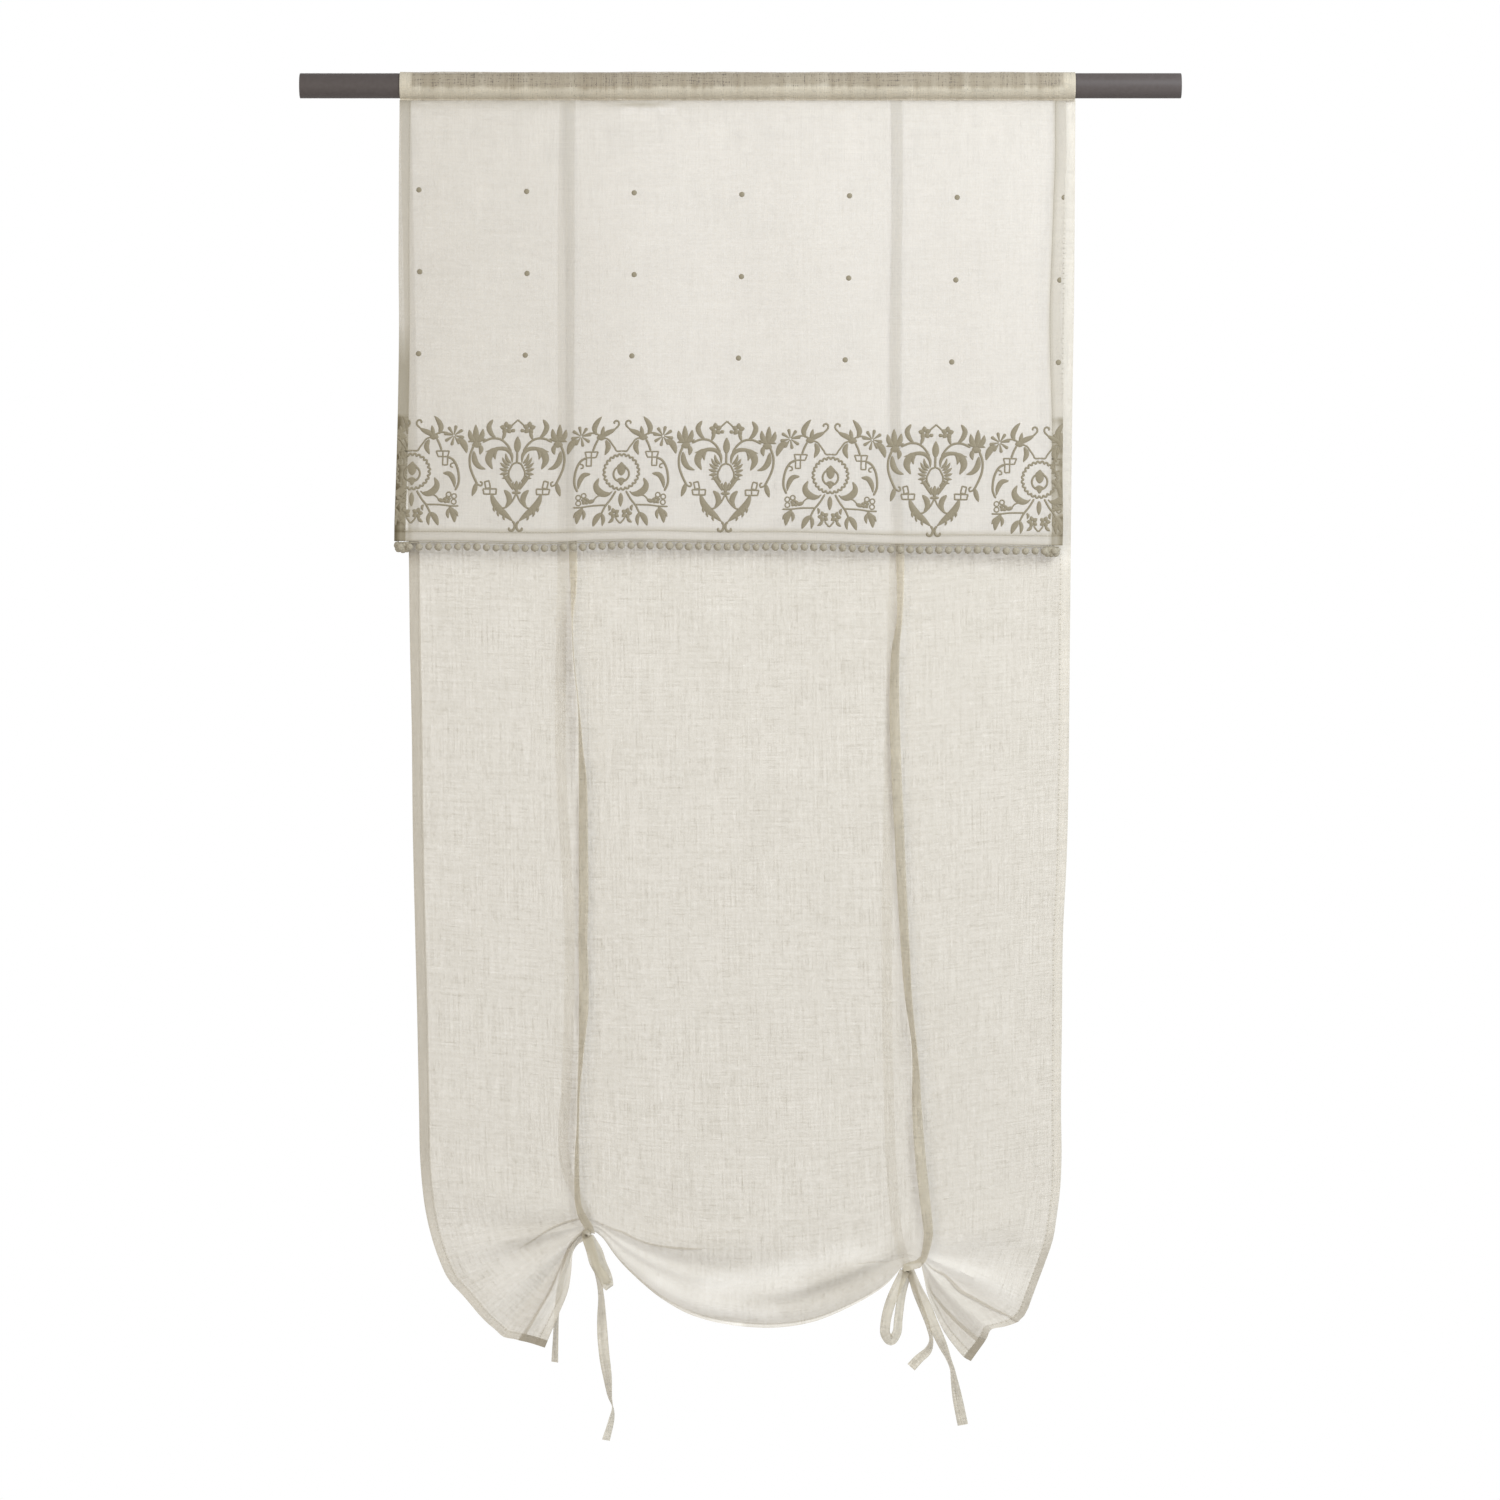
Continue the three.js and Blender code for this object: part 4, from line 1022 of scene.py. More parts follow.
def makeValance():
    width, drop, hem = valance["flatWidth"], valance["drop"], valance["sideHem"]
    low, step = valance["bottomHem"], foldStep
    columns = np.unique(np.concatenate([
        np.linspace(-hem, width + hem, valance["columns"]),
        [-step, 0, step, width - step, width, width + step],
        [hem - step, hem + step, width - hem - step, width - hem + step],
    ])) / width
    rows = np.unique(np.concatenate([
        np.linspace(0, drop - low - step, valance["rows"]),
        [drop - low + step, drop - low + 1.4, drop - low / 2],
        [drop - 4 * step, drop - 2 * step, drop - step],
        [drop, drop + step, drop + low / 2, drop + low],
    ]))
    cloth, down = np.meshgrid(columns, rows)
    across = np.where(cloth < 0, -cloth, np.where(cloth > 1, 2 - cloth, cloth))
    turned = np.where(down > drop, 2 * drop - down, down)
    points = valanceSurface(across, turned)
    beyond = np.maximum(np.maximum(-cloth, cloth - 1) * width, 0)
    behind = smoothStep(beyond, 0, foldReach) + smoothStep(down, drop, drop + foldReach)
    points[..., 1] += valance["hemGap"] * behind
    side = np.minimum(across, 1 - across) * width
    leftSide = across < 0.5
    leftHemTone = np.interp(turned, *valance["leftHemTones"])
    hemTone = np.where(leftSide, leftHemTone, valance["rightHemTone"])
    inSideHem = 1 - smoothStep(side, hem - edgeBlur, hem + edgeBlur)
    inBottomHem = smoothStep(turned, drop - low - edgeBlur, drop - low + edgeBlur)
    bottomHemTone = mix(*valance["bottomHemTones"], smoothStep(across, *valance["bottomHemFrom"]))
    layersAndShading = hemTone * inSideHem + bottomHemTone * inBottomHem * (1 - inSideHem)
    # the embroidered cloth that is turned in with the side hems is darker, and most so at its fold
    bandTop, bandFull = valance["workedTop"]
    worked = smoothStep(turned, drop - bandTop, drop - bandFull) * inSideHem
    count, (highest, lowest) = valance["workedCount"], valance["workedReach"]
    threads = np.random.default_rng(11).normal(0, valance["workedUneven"], count)
    heights = np.linspace(drop - highest, drop - lowest, count)
    patchy = np.interp(turned + valance["workedSlant"] * across, heights, threads)
    patchy = patchy * (turned < drop - valance["workedEnd"])
    atFold = np.where(leftSide, *valance["workedFolds"]) * bell(side, *valance["workedFold"])
    layersAndShading += worked * (np.where(leftSide, *valance["workedHemTones"]) + atFold * (1 + 0.3 * patchy))
    layersAndShading += worked * 0.6 * patchy
    # lines along the side hems' inner edges, with a soft one beside the left hem
    layersAndShading += bell(side, hem, 0.8) * np.where(leftSide, *valance["sideLines"])
    beside, apart, spread = valance["besideHem"]
    soft = beside * bell(side, hem + apart, spread)
    layersAndShading += soft * smoothStep(turned, *valance["besideFrom"]) * leftSide
    layersAndShading += valance["leftShade"] * (1 - smoothStep(across, *valance["leftShadeTo"]))
    # painted shade in a band under the heading's seam, where it puckers the top, stronger at the left
    layersAndShading += bell(turned, 1, 7) * mix(*valance["puckerShade"], smoothStep(across, *valance["puckerShadeTo"]))
    layersAndShading += thinLine(turned, drop, valance["foldLine"])
    layersAndShading += thinLine(turned, drop - low, valance["innerLine"])
    for path, spread, strength in valanceShades:
        layersAndShading += strength * softBand(points, path, spread)
    uv = np.stack([cloth * width, -down], -1).reshape(-1, 2) * mm
    return newPiece(
        "frontValance", points.reshape(-1, 3) * mm, gridFaces(*down.shape), uv, valanceCloth,
        ["valance"], layersAndShading,
    )


frontValance = makeValance()
print("valance made")


# Embroidery in satin stitch: two motifs that take turns along a band above the hem.
# Each is charted as its right half, in millimetres from its middle line and above the hem,
# as strokes of a kind and a width, and mirrored.

# foot and slope: its height above the hem and how much lower it runs at the right; lean: how far
# the motifs lean to the right above their middle; a stroke narrower than thin lies flatter
embroidery = {
    "firstX": -339.9, "pitch": 108.25, "count": 7, "foot": 8.5, "raise": 0.7, "lift": 0.15, "step": 0.9,
    "fullness": 1.18, "slope": 4.7, "slopeRun": 650, "lean": 0.025, "leanFrom": 60,
    "rise": {"medallion": -0.7, "heart": 1.5}, "thin": 4, "thinRaise": 0.35, "foldedBack": 0.1,
}
medallionStrokes = [
    ("stem", 1.5, [(0, 86), (5.2, 86), (7.5, 89.5), (10.5, 93.5), (14, 98), (19, 100)]),
    ("leaf", 4.6, [(22, 100.5), (16, 104.5), (10.5, 107), (6.5, 109.5)]),
    ("stem", 1.7, [(7.5, 109), (3.9, 112.8), (3.8, 116), (6, 117.6), (8.6, 116.2), (8, 114.2)]),
    ("leaf", 3.6, [(21, 101), (20.4, 106), (19.3, 112)]),
    ("leaf", 4.8, [(27, 103), (28.8, 110), (26, 116.5), (21.7, 121.8)]),
    ("stem", 1.6, [(21, 100.5), (27, 104.4), (33, 104.8), (41, 102)]),
    ("leaf", 5.8, [(45.5, 98), (51, 95), (54.2, 89.7), (56, 83.5)]),
    ("leaf", 6, [(17.5, 99.5), (21.5, 100.6), (26.5, 99.8)]),
    ("leaf", 4.6, [(16.8, 97.5), (14.2, 90.5), (17.4, 82)]),
    ("stem", 2, [(24.7, 98.5), (27.7, 92.5), (30, 86)]),
    ("box", 1.3, [(24.5, 85.4), (38, 85.4), (36.4, 79.6), (26.6, 79.6), (24.5, 85.4)]),
    ("box", 1.3, [(31.4, 85.4), (31.4, 71), (36.4, 71), (36.4, 79.6)]),
    ("stem", 2.1, [(36.5, 79.4), (42, 76.4), (46, 70), (48.2, 61), (48.2, 52), (45, 44.5)]),
    ("stem", 1.4, [(44, 73.5), (40, 72), (39.8, 69.3), (42.6, 68.6)]),
    ("leaf", 4.6, [(32, 62.6), (39, 61.4), (43, 55.2), (44.4, 47.5)]),
    ("leaf", 6.2, [(10.5, 41.8), (17.5, 41.4), (24, 45.5), (26, 51), (23.2, 58)]),
    ("stem", 1.3, [(9, 44), (14, 40.3), (24, 39.4), (28.5, 35)]),
    ("stem", 1.8, [(5.2, 44.5), (10.5, 35.7), (15.7, 29), (19.6, 21.5)]),
    ("stem", 1.5, [(15, 30), (30, 29.6), (41, 28.4), (49, 28.4)]),
    ("leaf", 3.6, [(19.6, 22), (17.6, 15), (18.6, 8.4)]),
    ("leaf", 5.2, [(20, 22), (24.8, 16.4), (28.2, 8.2)]),
    ("leaf", 3.6, [(27, 35.4), (31, 34), (35.5, 33.6)]),
    ("leaf", 5.6, [(39, 27.5), (43.6, 20.8), (45.2, 11.4)]),
    ("leaf", 3.2, [(41, 25), (46, 22), (48.6, 17.6)]),
    ("leaf", 3.2, [(39, 26), (37.6, 20.5), (38.6, 15.4)]),
    ("leaf", 2.6, [(12.6, 30), (11, 27), (12, 23.6)]),
    ("leaf", 3, [(7, 17), (9.4, 13.4), (12.4, 11.6)]),
    ("stem", 1.5, [(5, 17), (3, 14), (0, 10.6)]),
]
medallionMiddle = [
    ("leaf", 7.4, [(0, 60.4), (0, 66.5), (0, 74.5)]),
    ("leaf", 3, [(-4.6, 70), (0, 71.4), (4.6, 70)]),
    ("leaf", 5, [(0, 58), (0, 54.5), (0, 50)]),
    ("leaf", 2.4, [(-5, 55.6), (0, 57), (5, 55.6)]),
    ("leaf", 4.4, [(0, 42.5), (0, 37), (0, 28)]),
]
heartStrokes = [
    ("box", 1.5, [(6, 111), (0, 116.4)]),
    ("leaf", 3.6, [(3.4, 103.9), (4.8, 105.6), (6.4, 103.9)]),
    ("leaf", 3.2, [(12.6, 105), (14, 100.5), (15.6, 95.8)]),
    ("leaf", 4.6, [(26, 116.6), (29.9, 109.6), (27.6, 102.6), (22, 96.8)]),
    ("stem", 2, [(6.2, 84), (10.9, 91.2), (17.7, 96.4), (26.7, 97.2), (36, 93.4)]),
    ("leaf", 5.2, [(42.6, 93), (43.2, 102), (43.6, 111.4)]),
    ("leaf", 4.8, [(42, 93.5), (37.5, 99), (35.8, 107)]),
    ("leaf", 4.8, [(43.4, 94), (48.4, 99), (50.2, 106)]),
    ("leaf", 2.6, [(43, 94), (47, 94.6), (51.4, 93.6)]),
    ("leaf", 2.6, [(42.4, 94), (37, 95.6), (32.8, 97)]),
    ("leaf", 6.2, [(37.4, 91.4), (42.6, 91), (47, 90)]),
    ("leaf", 4.2, [(39.4, 91), (37.4, 86), (38.6, 80.6)]),
    ("stem", 2.1, [(45, 90), (48.7, 79.4), (48.5, 68.8), (45.4, 59.6), (40.2, 49.2)]),
    ("leaf", 5.2, [(45, 84), (43.4, 73.8), (39, 68), (32.4, 65.4)]),
    ("leaf", 4.4, [(41.4, 51.4), (43, 45), (45.6, 37.6)]),
    ("stem", 1.6, [(41, 50), (36.4, 48.3), (35.6, 51.4), (38, 52.8)]),
    ("box", 1.4, [(28.4, 53.6), (33, 52.4), (31.4, 45.4), (26.8, 46.6), (28.4, 53.6)]),
    ("box", 1.4, [(20.6, 45.4), (34.6, 45), (33.4, 39.8), (21, 39.8), (20.6, 45.4)]),
    ("box", 1.2, [(27.2, 45.2), (27.2, 39.8)]),
    ("leaf", 3.6, [(5, 72.5), (6, 80.6), (11, 86), (19.5, 86.9), (32.8, 83.4)]),
    ("leaf", 6.4, [(19, 86.6), (26, 83.6), (29.6, 75.4), (25.4, 65.6)]),
    ("leaf", 3, [(21, 85), (23.4, 80.6), (22.6, 75.6)]),
    ("leaf", 2.9, [(6, 71.6), (10.4, 76), (12, 82)]),
    ("leaf", 2.9, [(7.4, 69.4), (12.6, 73), (15.4, 77.8)]),
    ("leaf", 2.9, [(8.4, 67), (13.4, 69), (17.4, 72.4)]),
    ("leaf", 2.9, [(9, 64.4), (13.6, 65), (18, 66.4)]),
    ("leaf", 2.9, [(9, 61.8), (13.4, 61), (17.6, 60.4)]),
    ("stem", 1.7, [(0, 72.6), (4.2, 71), (6.5, 67.2), (8.4, 62.6), (8, 58), (5, 53)]),
    ("leaf", 3.6, [(14, 59.6), (8.6, 53.8), (3.2, 44.2)]),
    ("leaf", 2.2, [(9, 60), (11.4, 57), (15.4, 56.4)]),
    ("leaf", 2.8, [(0.6, 44.6), (3.4, 48.6), (3.6, 53)]),
    ("leaf", 5, [(12.6, 44.4), (8, 38.8), (7.2, 32.6), (11, 26.2)]),
    ("stem", 1.6, [(0, 41), (4.2, 32.8), (10.2, 26.8), (14.8, 25.2)]),
    ("leaf", 6.4, [(26, 40), (22.4, 31.2), (17.7, 25), (10.2, 18.6), (3.4, 12.6)]),
    ("stem", 2.2, [(3.4, 12.6), (1.2, 9.5), (1.2, 5.5), (3.5, 2.5), (6.5, 3.5), (6.5, 6)]),
    ("leaf", 2.8, [(19.5, 28.5), (22.6, 25), (22, 21.4)]),
    ("leaf", 2.6, [(16.4, 24.5), (18.6, 20.6), (17.6, 16.8)]),
    ("leaf", 2.4, [(11, 19.4), (12.6, 16), (11.4, 13)]),
]
heartMiddle = [
    ("leaf", 6.2, [(0, 82.6), (0, 90), (0, 99.4)]),
    ("stem", 2, [(0, 84), (0, 72.4)]),
    ("leaf", 4.6, [(0, 42), (0, 47), (0, 54)]),
    ("stem", 2.4, [(-4.6, 41.6), (4.6, 41.6)]),
]


def bloom(x, up, radius, petals, width, kind="leaf", start=0.0):
    # flower with its petals laid round a small middle
    strokes = []
    near = radius * 0.1
    for i in range(petals):
        turn = start + 2 * math.pi * i / petals
        reaches = (near, (near + radius) / 2, radius)
        path = [(x + reach * math.sin(turn), up + reach * math.cos(turn)) for reach in reaches]
        strokes.append((kind, width, path))
    return strokes


def hoop(x, up, radius, width, scallops=0, scallopDepth=2.4):
    # a ring, with an even row of scallops round it if any
    turns = np.linspace(0, 2 * math.pi, max(20, scallops * 6) + 1)
    r = radius + scallopDepth * (np.abs(np.sin(turns * scallops / 2)) - 0.6) * (scallops > 0)
    path = np.stack([x + r * np.sin(turns), up + r * np.cos(turns)], -1)
    return [("box", width, [tuple(point) for point in path])]


def mirrored(strokes):
    return [(kind, width, [(-x, up) for x, up in path]) for kind, width, path in strokes]


def motifStrokes(name):
    if name == "medallion":
        half = medallionStrokes + bloom(42.4, 101.6, 10.6, 8, 3.4, "petal", 0.2)
        half += bloom(6.4, 21, 6, 5, 3.8, start=0.3) + bloom(36.8, 35, 4.4, 5, 3.4)
        half += hoop(44, 38.6, 2.5, 1.2) + hoop(43.8, 32.8, 2.5, 1.2) + hoop(38.4, 40.4, 2.4, 1.2)
        middle = medallionMiddle + hoop(0, 64.2, 17.9, 1.8, 24) + hoop(0, 62, 8.1, 1.8)
    else:
        half = heartStrokes + bloom(11.7, 108, 6.8, 5, 4.4, start=0.1)
        middle = heartMiddle
    return half + mirrored(half) + middle


def strokeRibbon(kind, width, path, originX, rise):
    # a ribbon with a low crown, as wide at each place as its kind says
    width = width * embroidery["fullness"]
    line = np.array(path, float) if kind == "box" else smoothLine(path, 8)
    length = lengthsAlong(line)[-1]
    steps = max(3, int(length / embroidery["step"]))
    share = np.linspace(0, 1, steps + 1)
    middle = alongLine(line, share)
    tangent = np.gradient(middle, axis=0)
    tangent /= np.maximum(np.linalg.norm(tangent, axis=1, keepdims=True), 1e-9)
    side = np.stack([tangent[:, 1], -tangent[:, 0]], -1)
    ends = np.sqrt(np.clip(np.minimum(share, 1 - share) * length / (0.5 * width), 0, 1))
    profile = {
        "stem": 0.35 + 0.65 * ends,
        "box": np.ones_like(share),
        "leaf": 0.12 + 0.88 * np.sin(math.pi * share ** 0.85) ** 0.8,
        "petal": (0.2 + 0.8 * share) * np.sqrt(np.clip((1.02 - share) * 7, 0, 1)),
    }[kind] * width
    across = np.array([-0.5, -0.3, 0, 0.3, 0.5])
    crown = np.array([0, 0.75, 1, 0.75, 0])
    flat = middle[:, None] + side[:, None] * (across[None, :] * profile[:, None])[..., None]
    run = (originX - embroidery["firstX"]) / embroidery["slopeRun"]
    foot = embroidery["foot"] + rise - embroidery["slope"] * run
    leaning = flat[..., 0] + embroidery["lean"] * (flat[..., 1] - embroidery["leanFrom"])
    points, over = valancePlace(leaning + originX, flat[..., 1] + foot)
    height = embroidery["raise"] * min(1, width / embroidery["thin"] + embroidery["thinRaise"])
    front = points.copy()
    front[..., 1] -= embroidery["lift"] + height * crown * np.clip(profile[:, None] / width * 1.5, 0, 1)
    front[..., 1] += (over > 0) * embroidery["foldedBack"]
    uv = np.stack(np.broadcast_arrays(
        across[None, :] * profile[:, None], share[:, None] * length
    ), -1).reshape(-1, 2)
    return front.reshape(-1, 3), gridFaces(steps + 1, 5), uv, over.max()


def makeEmbroidery():
    parts, uvs = [], []
    reach = 2 * valance["sideHem"]
    for i in range(embroidery["count"]):
        originX = embroidery["firstX"] + embroidery["pitch"] * i
        motif = "medallion" if i % 2 == 0 else "heart"
        for kind, width, path in motifStrokes(motif):
            rise = embroidery["rise"][motif]
            points, faces, uv, over = strokeRibbon(kind, width, path, originX, rise)
            if over <= reach:
                parts.append((points, faces))
                uvs.append(uv + [0.37 * len(uvs), 0])   # so that no two strokes show the same threads
    vertices, faces = joinMeshes(parts)
    return newPiece("embroidery", vertices * mm, faces, np.vstack(uvs) * mm, satinThread)


valanceEmbroidery = makeEmbroidery()
print("embroidery made")

# level: the row runs level from this column on; profile: a dome's radius and height
dots = {
    "columns": 7, "size": 5.6, "level": 5, "sides": 14, "lift": 0.1, "raise": 0.8,
    "profile": [(0.5, 0), (0.42, 0.6), (0.25, 0.9), (0, 1)],
    "rows": [
        {"up": 364, "firstX": -333, "pitch": 111.5, "slope": -1.55},
        {"up": 278.9, "firstX": -332, "pitch": 111, "slope": -1.6},
        {"up": 194.1, "firstX": -333.2, "pitch": 110.4, "slope": -1.45},
    ],
}


def makeDots():
    # small embroidered spots, each a low dome of threads
    profile = np.array(dots["profile"], float)
    radius, height = profile[:, :1] * dots["size"], profile[:, 1:] * dots["raise"]
    around = np.linspace(0, 2 * math.pi, dots["sides"], endpoint=False)
    spotX, spotUp = radius * np.sin(around), radius * np.cos(around)
    parts, uvs = [], []
    for row in dots["rows"]:
        for i in range(dots["columns"]):
            x, z = row["firstX"] + row["pitch"] * i, row["up"] + row["slope"] * min(i, dots["level"])
            points = valancePlace(x + spotX, z + spotUp)[0]
            points[..., 1] -= dots["lift"] + height
            closed = np.concatenate([points, points[:, :1]], axis=1).reshape(-1, 3)
            parts.append((closed, gridFaces(len(profile), len(around) + 1)))
            flat = np.stack([spotX, spotUp], -1)
            uvs.append(np.concatenate([flat, flat[:, :1]], axis=1).reshape(-1, 2) + [i, z])
    vertices, faces = joinMeshes(parts)
    piece = newPiece("embroideredDots", vertices * mm, faces, np.vstack(uvs) * mm, satinThread)
    pickOnly(piece)
    bpy.ops.object.mode_set(mode="EDIT")
    bpy.ops.mesh.select_all(action="SELECT")
    bpy.ops.mesh.remove_doubles(threshold=0.02 * mm)
    bpy.ops.object.mode_set(mode="OBJECT")
    turnedOut(piece)
    return piece


embroideredDots = makeDots()
print("dots made")

# inset: how far inside a hem's inner edge a seam runs; ends: from left to right
valanceSeam = {
    "pitch": 3.2, "length": 2.3, "width": 0.45, "raise": 0.3, "lift": 0.6, "sunk": 0.3, "inset": 0.7,
    "bottomEnds": (-346, 321), "topEnds": (-352, 337), "topDown": 1.6, "sideTop": 2, "points": 200,
    "sidePoints": 120, "wander": 0.8, "fineWander": 0.4,
}


def makeValanceSeams():
    drop, count = valance["drop"], valanceSeam["points"]
    low, hem = valance["bottomHem"] - valanceSeam["inset"], valance["sideHem"] - valanceSeam["inset"]
    x = np.linspace(*valanceSeam["bottomEnds"], count)
    wave = valanceSeam["wander"] * np.sin(x * 0.021 + 1) + valanceSeam["fineWander"] * np.sin(x * 0.052)
    bottom = valancePlace(x, low + wave)[0]
    up = np.linspace(low, drop - valanceSeam["sideTop"], valanceSeam["sidePoints"])
    left = valancePlace(readTable(valanceEdges, "down", drop - up, "left") + hem, up)[0]
    right = valancePlace(readTable(valanceEdges, "down", drop - up, "right") - hem, up)[0]
    top = valancePlace(
        np.linspace(*valanceSeam["topEnds"], count), np.full(count, drop - valanceSeam["topDown"])
    )[0]
    vertices, faces = joinMeshes([stitchMesh(line, valanceSeam) for line in (bottom, left, right, top)])
    uv = vertices[:, [0, 2]] * mm
    return newPiece("valanceSeams", vertices * mm, faces, uv, sewingThread)


valanceSeams = makeValanceSeams()
print("valance seams made")

# doubledUp: balls of the turned-in ends, how far in from the end and above (1) or below (-1) the row
trim = {
    "count": 69, "ball": 7.9, "sizes": (0.92, 1.04), "fuzz": 0.08, "sink": -2.2, "loose": 0.4,
    "left": -357.5, "right": 330, "cord": 1.0, "cordDown": 1.5, "cordPoints": 300, "cordSides": 6,
    "doubledUp": [(2.5, 1), (6, 1), (9.5, 1), (13, 1), (3.5, -1), (8, -1), (12, -1)],
    "rowApart": 1.8, "rowBehind": 3,
}


def makeTrim():
    # balls of cut yarn on a thin cord below the hem, doubled up where the trim turns in at its ends
    bpy.ops.mesh.primitive_ico_sphere_add(subdivisions=3, radius=0.5)
    model = bpy.context.object
    ball = np.array([vertex.co for vertex in model.data.vertices])
    ballFaces = np.array([list(face.vertices) for face in model.data.polygons])
    bpy.data.objects.remove(model)
    step = (trim["right"] - trim["left"]) / trim["count"]
    places = [(trim["left"] + step * (i + 0.5), 0) for i in range(trim["count"])]
    for inward, row in trim["doubledUp"]:
        places += [(trim["left"] + inward, row), (trim["right"] - inward, row)]
    strands = np.random.default_rng(4)
    parts, uvs = [], []
    for x, row in places:
        point = valancePlace(np.array([x]), np.array([0.0]))[0][0]
        tuft = ball * (1 + trim["fuzz"] * strands.uniform(-1, 1, (len(ball), 1)))
        size = trim["ball"] * strands.uniform(*trim["sizes"])
        wobble = strands.uniform(-trim["loose"], trim["loose"])
        point[2] -= trim["ball"] / 2 - trim["sink"] + wobble - row * trim["rowApart"]
        point[1] += abs(row) * trim["rowBehind"]
        parts.append((tuft * size + point, ballFaces))
        uvs.append(tuft[:, [0, 2]] * size + [x, 0])
    x = np.linspace(trim["left"], trim["right"], trim["cordPoints"])
    cord = valancePlace(x, np.zeros(len(x)))[0]
    cord[:, 2] -= trim["cordDown"]
    turn = np.linspace(0, 2 * math.pi, trim["cordSides"] + 1)
    ring = np.stack([0 * turn, np.cos(turn), -np.sin(turn)], -1) * trim["cord"] / 2
    tube = cord[None] + ring[:, None]
    parts.append((tube.reshape(-1, 3), gridFaces(len(turn), len(x))))
    uvs.append(tube.reshape(-1, 3)[:, [0, 2]])
    vertices, faces = joinMeshes(parts)
    return newPiece(
        "pompomTrim", vertices * mm, faces, np.vstack(uvs) * mm, pompomYarn, ["pompom_trim"],
    )


pompomTrim = makeTrim()
print("trim made")


# Ties and bows, tapes folded from the curtain's cloth

tape = {"width": 11, "thick": 1.0, "tieSteps": 150, "endSteps": 90}
# each row is a place x, y, z on the tape's middle line and how far the tape is turned there
tieTables = {
    "tieFrontLeft": [
        (-177, -1.3, -15.4, 0), (-177.5, -3, -80, 8), (-176.5, -3.3, -180, 30), (-176.3, -3.5, -430, 38),
        (-173.7, -4, -484, 38), (-173, -5, -523, 57), (-174.2, -6.5, -552, 84), (-172.6, -7, -596, 87),
        (-168.4, -7.5, -637, 87), (-166.7, -8, -658, 80), (-165.3, -8, -689, 65), (-163.4, -7, -720, 40),
        (-162.9, -6, -772, 30), (-162.6, -6, -844, 25), (-163.3, -6, -884, 34), (-162.3, -6, -927, 25),
        (-162.5, -6.5, -958, 27), (-163.9, -7.5, -984, 50), (-165.6, -8, -1010, 65),
        (-167.5, -8, -1042, 79), (-168.6, -8, -1083, 80), (-169.4, -8, -1104, 70),
        (-169.2, -7.5, -1145, 59), (-167.7, -7, -1162, 54), (-164.5, -6.5, -1171, 42),
        (-160, -6, -1179, 35), (-155.5, -5.5, -1186, 42), (-154.5, -3.5, -1190, 50),
    ],
    "tieFrontRight": [
        (162.3, -1.3, -15.4, 0), (163, -3, -118, 10), (161, -3.5, -200, 15), (159.8, -4, -300, 15),
        (161.5, -4, -400, 25), (165.6, -4.5, -492, 42), (164.8, -5.5, -554, 62), (160.7, -6, -585, 45),
        (159.5, -6, -637, 26), (160.7, -6, -689, 19), (162.9, -6, -741, 20), (165.4, -6, -793, 28),
        (167.8, -6, -844, 33), (170.8, -6.5, -896, 38), (174.3, -7, -948, 52), (179.5, -8, -990, 65),
        (181.8, -8, -1021, 53), (182.2, -8, -1046, 35), (185.7, -8, -1104, 12), (191.1, -8, -1155.5, 15),
        (194.6, -8, -1192, 35), (192.4, -7.5, -1205, 48), (189.5, -7, -1216, 56), (184.5, -6, -1221.5, 46),
        (176, -4.5, -1224, 44), (169, -3, -1226, 50),
    ],
    "tieBackLeft": [
        (-182, 1.3, -15.4, 0), (-184, 4, -120, 0), (-184.5, 5, -480, 0), (-186, 5, -560, 0),
        (-187, 5, -640, 5), (-186, 5, -720, 10), (-182, 5, -790, 15), (-178, 5, -860, 15),
        (-178, 5, -960, 10), (-181, 5, -1040, 10), (-184, 5, -1095, 10), (-180, 5, -1128, 20),
        (-170, 5, -1150, 25), (-162, 5, -1168, 25), (-158, 3, -1188, 20),
    ],
    "tieBackRight": [
        (161, 1.3, -15.4, 0), (162, 4, -120, 0), (160, 5, -480, 5), (156, 5, -640, 15),
        (153, 5, -800, 15), (152, 5, -950, 15), (154, 5, -1050, 15), (156, 5, -1110, 15),
        (159, 5, -1155, 20), (163, 5, -1190, 25), (168.5, 5.5, -1213, 25), (174, 5, -1227, 25),
    ],
}
# how the ties' tone changes with their height: those in front are paler just below the valance
frontTieTones = ((-575, -545, -470, -440), (0, -0.9, -0.9, 0.6))
backTieTones = ((-475, -440), (0, 0.6))
leftKnot = {"x": -159.5, "y": -3, "z": -1191, "size": (10, 10, 10), "hollow": (-0.05, -0.15)}
rightKnot = {"x": 172.5, "y": 2.5, "z": -1228.5, "size": (10, 9, 8), "hollow": (0.05, -0.3)}
knotLook = {
    "sides": 36, "rings": 22, "ridges": 0.07, "twist": 5, "tone": 0.6,
    "hollowSize": 0.17, "hollowDepth": 0.25, "hollowShade": 6,
}
leftBow = {
    "loop": [
        (0.5, -2, -3, 10), (5, -5, -17, 15), (8.5, -6, -29, 10), (17.5, -5, -44, 5),
        (22, -2.5, -53, 0), (21, 0.5, -45, 0), (15, 1.5, -30, 5), (11, 1.5, -18, 5), (2, 1, -3, 0),
    ],
    "longEnd": [
        (0, 2, -2, 0), (7, 5, -25, 45), (12.5, 5, -48, 60), (15, 4, -66, 55), (15.5, 4, -86, 32),
        (16.5, 3, -107, 8), (18.5, 2, -128, 12), (21.5, 1.5, -148, 35), (24, 1, -168, 66),
        (27, 0, -180, 92), (26, 0, -191, 118), (20, 0, -213.5, 136),
    ],
    "shortEnd": [
        (-1, 4, 0, 30), (-14, 11, -11, 50), (-25, 14, -42, 55), (-31.5, 14, -82, 62),
        (-32.5, 13, -106, 60), (-33.5, 13, -134, 50),
    ],
}
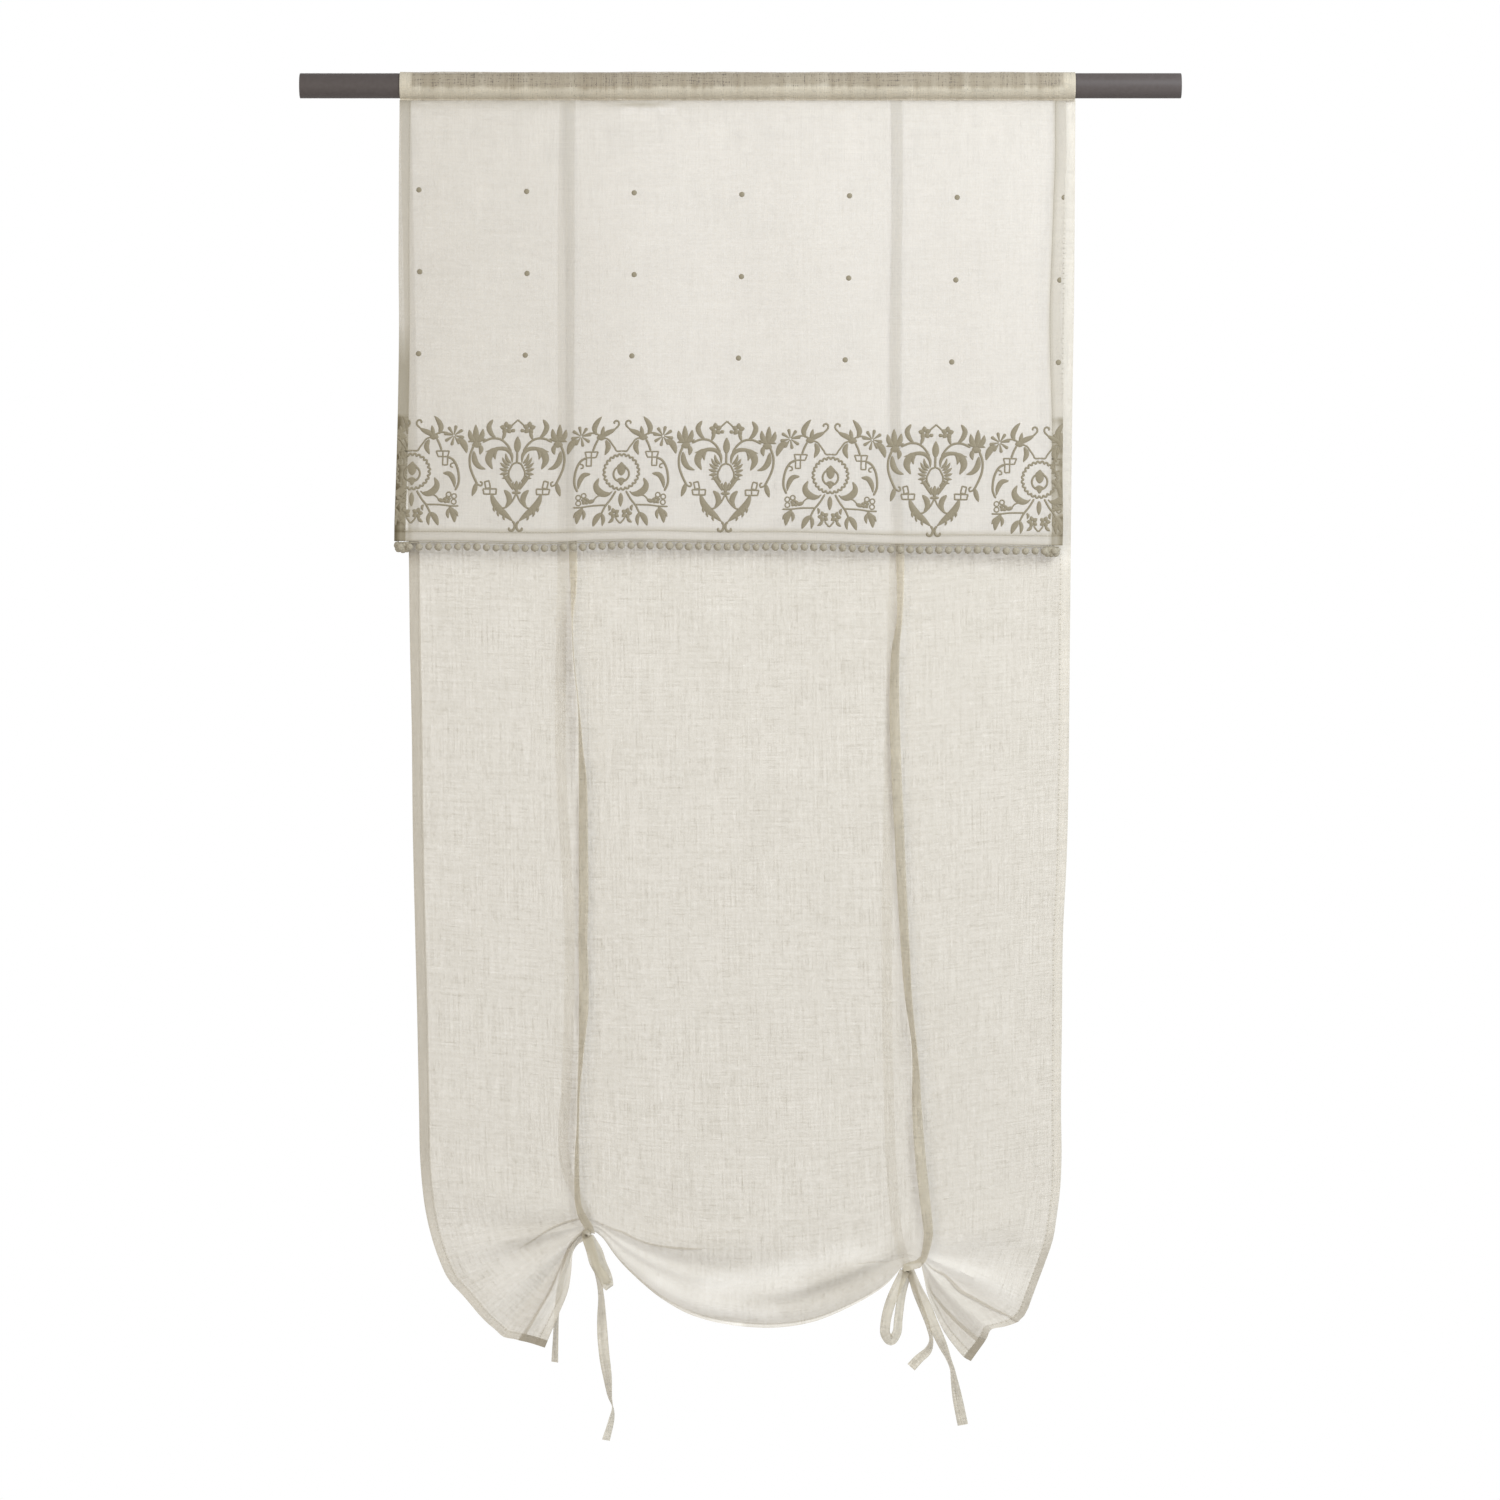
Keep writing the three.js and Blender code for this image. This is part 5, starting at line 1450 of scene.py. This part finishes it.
rightBow = {
    "loop": [
        (-2, -2, -1, 20), (-11, -5, -19, 16), (-15.8, -6, -30, 16), (-19.6, -6, -42, 18),
        (-22.4, -6, -57, 22), (-22.2, -5, -66, 20), (-16.5, -2, -73, 12), (-10.5, 1, -66, 30),
        (-8.5, 2, -50, 36), (-5, 1.5, -25, 38), (1, 1, -1, 30),
    ],
    "longEnd": [
        (3, -2, -1, 30), (12, -6, -20, 35), (20, -8, -37, 10), (28, -9, -57, 10), (36.5, -10, -76, 32),
        (43, -10, -91, 62), (47, -10, -102, 66), (49, -9, -113, 52), (52.5, -8, -133, 25),
        (55.5, -7, -148, 15), (58, -7, -160, 12),
    ],
    "shortEnd": [
        (3, 2, -2, 60), (9, 4, -23, 60), (17, 4, -44, 65), (23, 4, -61, 70), (25.5, 3, -74, 72),
        (22, 2, -84, 50), (12.5, 1, -92.5, 35), (4.5, 0, -101, 30),
    ],
}
tapeSection = np.array([
    (-0.5, -0.2), (-0.46, -0.5), (-0.2, -0.42), (0.2, -0.42), (0.46, -0.5), (0.5, -0.2),
    (0.5, 0.2), (0.46, 0.5), (0.2, 0.42), (-0.2, 0.42), (-0.46, 0.5), (-0.5, 0.2),
])


def sweepTape(table, steps):
    rows = np.array(table, float)
    line = smoothLine(rows[:, :3])
    perRow = np.linspace(0, len(rows) - 1, len(line))
    turns = [{"at": i, "turn": row[3]} for i, row in enumerate(table)]
    lengths = lengthsAlong(line)
    at = np.linspace(0, lengths[-1], steps + 1)
    turn = np.radians(readTable(turns, "at", np.interp(at, lengths, perRow), "turn"))
    middle = alongLine(line, at / lengths[-1])
    tangent = np.gradient(middle, axis=0)
    tangent /= np.linalg.norm(tangent, axis=1, keepdims=True)
    side = np.cross(tangent, [0, -1, 0])
    side /= np.linalg.norm(side, axis=1, keepdims=True)
    side = side * np.cos(turn)[:, None] + np.cross(tangent, side) * np.sin(turn)[:, None]
    face = np.cross(side, tangent)
    across = tapeSection[:, 0] * tape["width"]
    through = tapeSection[:, 1] * tape["thick"]
    points = (
        middle[:, None]
        + side[:, None] * across[None, :, None]
        + face[:, None] * through[None, :, None]
    )
    count = len(tapeSection)
    index = np.arange((steps + 1) * count).reshape(steps + 1, count)
    after = np.roll(index, -1, axis=1)
    quads = np.stack([index[:-1], after[:-1], after[1:], index[1:]], -1).reshape(-1, 4)
    faces = quads.tolist() + [index[0][::-1].tolist(), index[-1].tolist()]
    uv = np.stack(np.broadcast_arrays(across[None, :], at[:, None]), -1).reshape(-1, 2)
    return points.reshape(-1, 3), faces, uv, lengths[-1]


def makeTie(name, node, material, tones):
    points, faces, uv, length = sweepTape(tieTables[name], tape["tieSteps"])
    layersAndShading = np.interp(points[:, 2], *tones)
    piece = newPiece(name, points * mm, faces, uv * mm, material, [node], layersAndShading)
    turnedOut(piece)


def windKnot(knot):
    # a ball with slanting ridges, like tape wound round itself, and a hollow in front with painted shade
    # in it
    bpy.ops.mesh.primitive_uv_sphere_add(
        segments=knotLook["sides"], ring_count=knotLook["rings"], radius=0.5
    )
    model = bpy.context.object
    ball = np.array([vertex.co for vertex in model.data.vertices])
    faces = [list(face.vertices) for face in model.data.polygons]
    bpy.data.objects.remove(model)
    angle = np.arctan2(ball[:, 1], ball[:, 0])
    ridges = np.abs(np.sin(angle + knotLook["twist"] * ball[:, 2]))
    out = 1 - knotLook["ridges"] + 2 * knotLook["ridges"] * ridges
    x, z = knot["hollow"]
    away = np.hypot(ball[:, 0] - x, ball[:, 2] - z)
    hollow = bell(away, 0, knotLook["hollowSize"]) * (ball[:, 1] < 0)
    out = out - knotLook["hollowDepth"] * hollow
    # the hollow is darkened with painted shade
    layersAndShading = knotLook["tone"] + knotLook["hollowShade"] * hollow
    return ball * out[:, None] * np.array(knot["size"]), faces, layersAndShading


def makeBow(name, node, knot, ends):
    ball, faces, layersAndShading = windKnot(knot)
    vertices, uvs, total = [ball], [ball[:, [0, 2]]], 0
    start = len(ball)
    for table in ends.values():
        points, more, uv, length = sweepTape(table, tape["endSteps"])
        faces += [[start + i for i in face] for face in more]
        vertices.append(points)
        uvs.append(uv)
        start += len(points)
        total += length
    layersAndShading = np.concatenate([layersAndShading, np.zeros(start - len(ball))])
    vertices = np.vstack(vertices) + [knot["x"], knot["y"], knot["z"]]
    piece = newPiece(
        name, vertices * mm, faces, np.vstack(uvs) * mm, tapeCloth, [node], layersAndShading,
    )
    turnedOut(piece)


makeTie("tieFrontLeft", "tie_front_left", tapeCloth, frontTieTones)
makeTie("tieFrontRight", "tie_front_right", tapeCloth, frontTieTones)
makeTie("tieBackLeft", "tie_back_left", backTapeCloth, backTieTones)
makeTie("tieBackRight", "tie_back_right", backTapeCloth, backTieTones)
makeBow("bowLeft", "bow_left", leftKnot, leftBow)
makeBow("bowRight", "bow_right", rightKnot, rightBow)
print("ties and bows made")
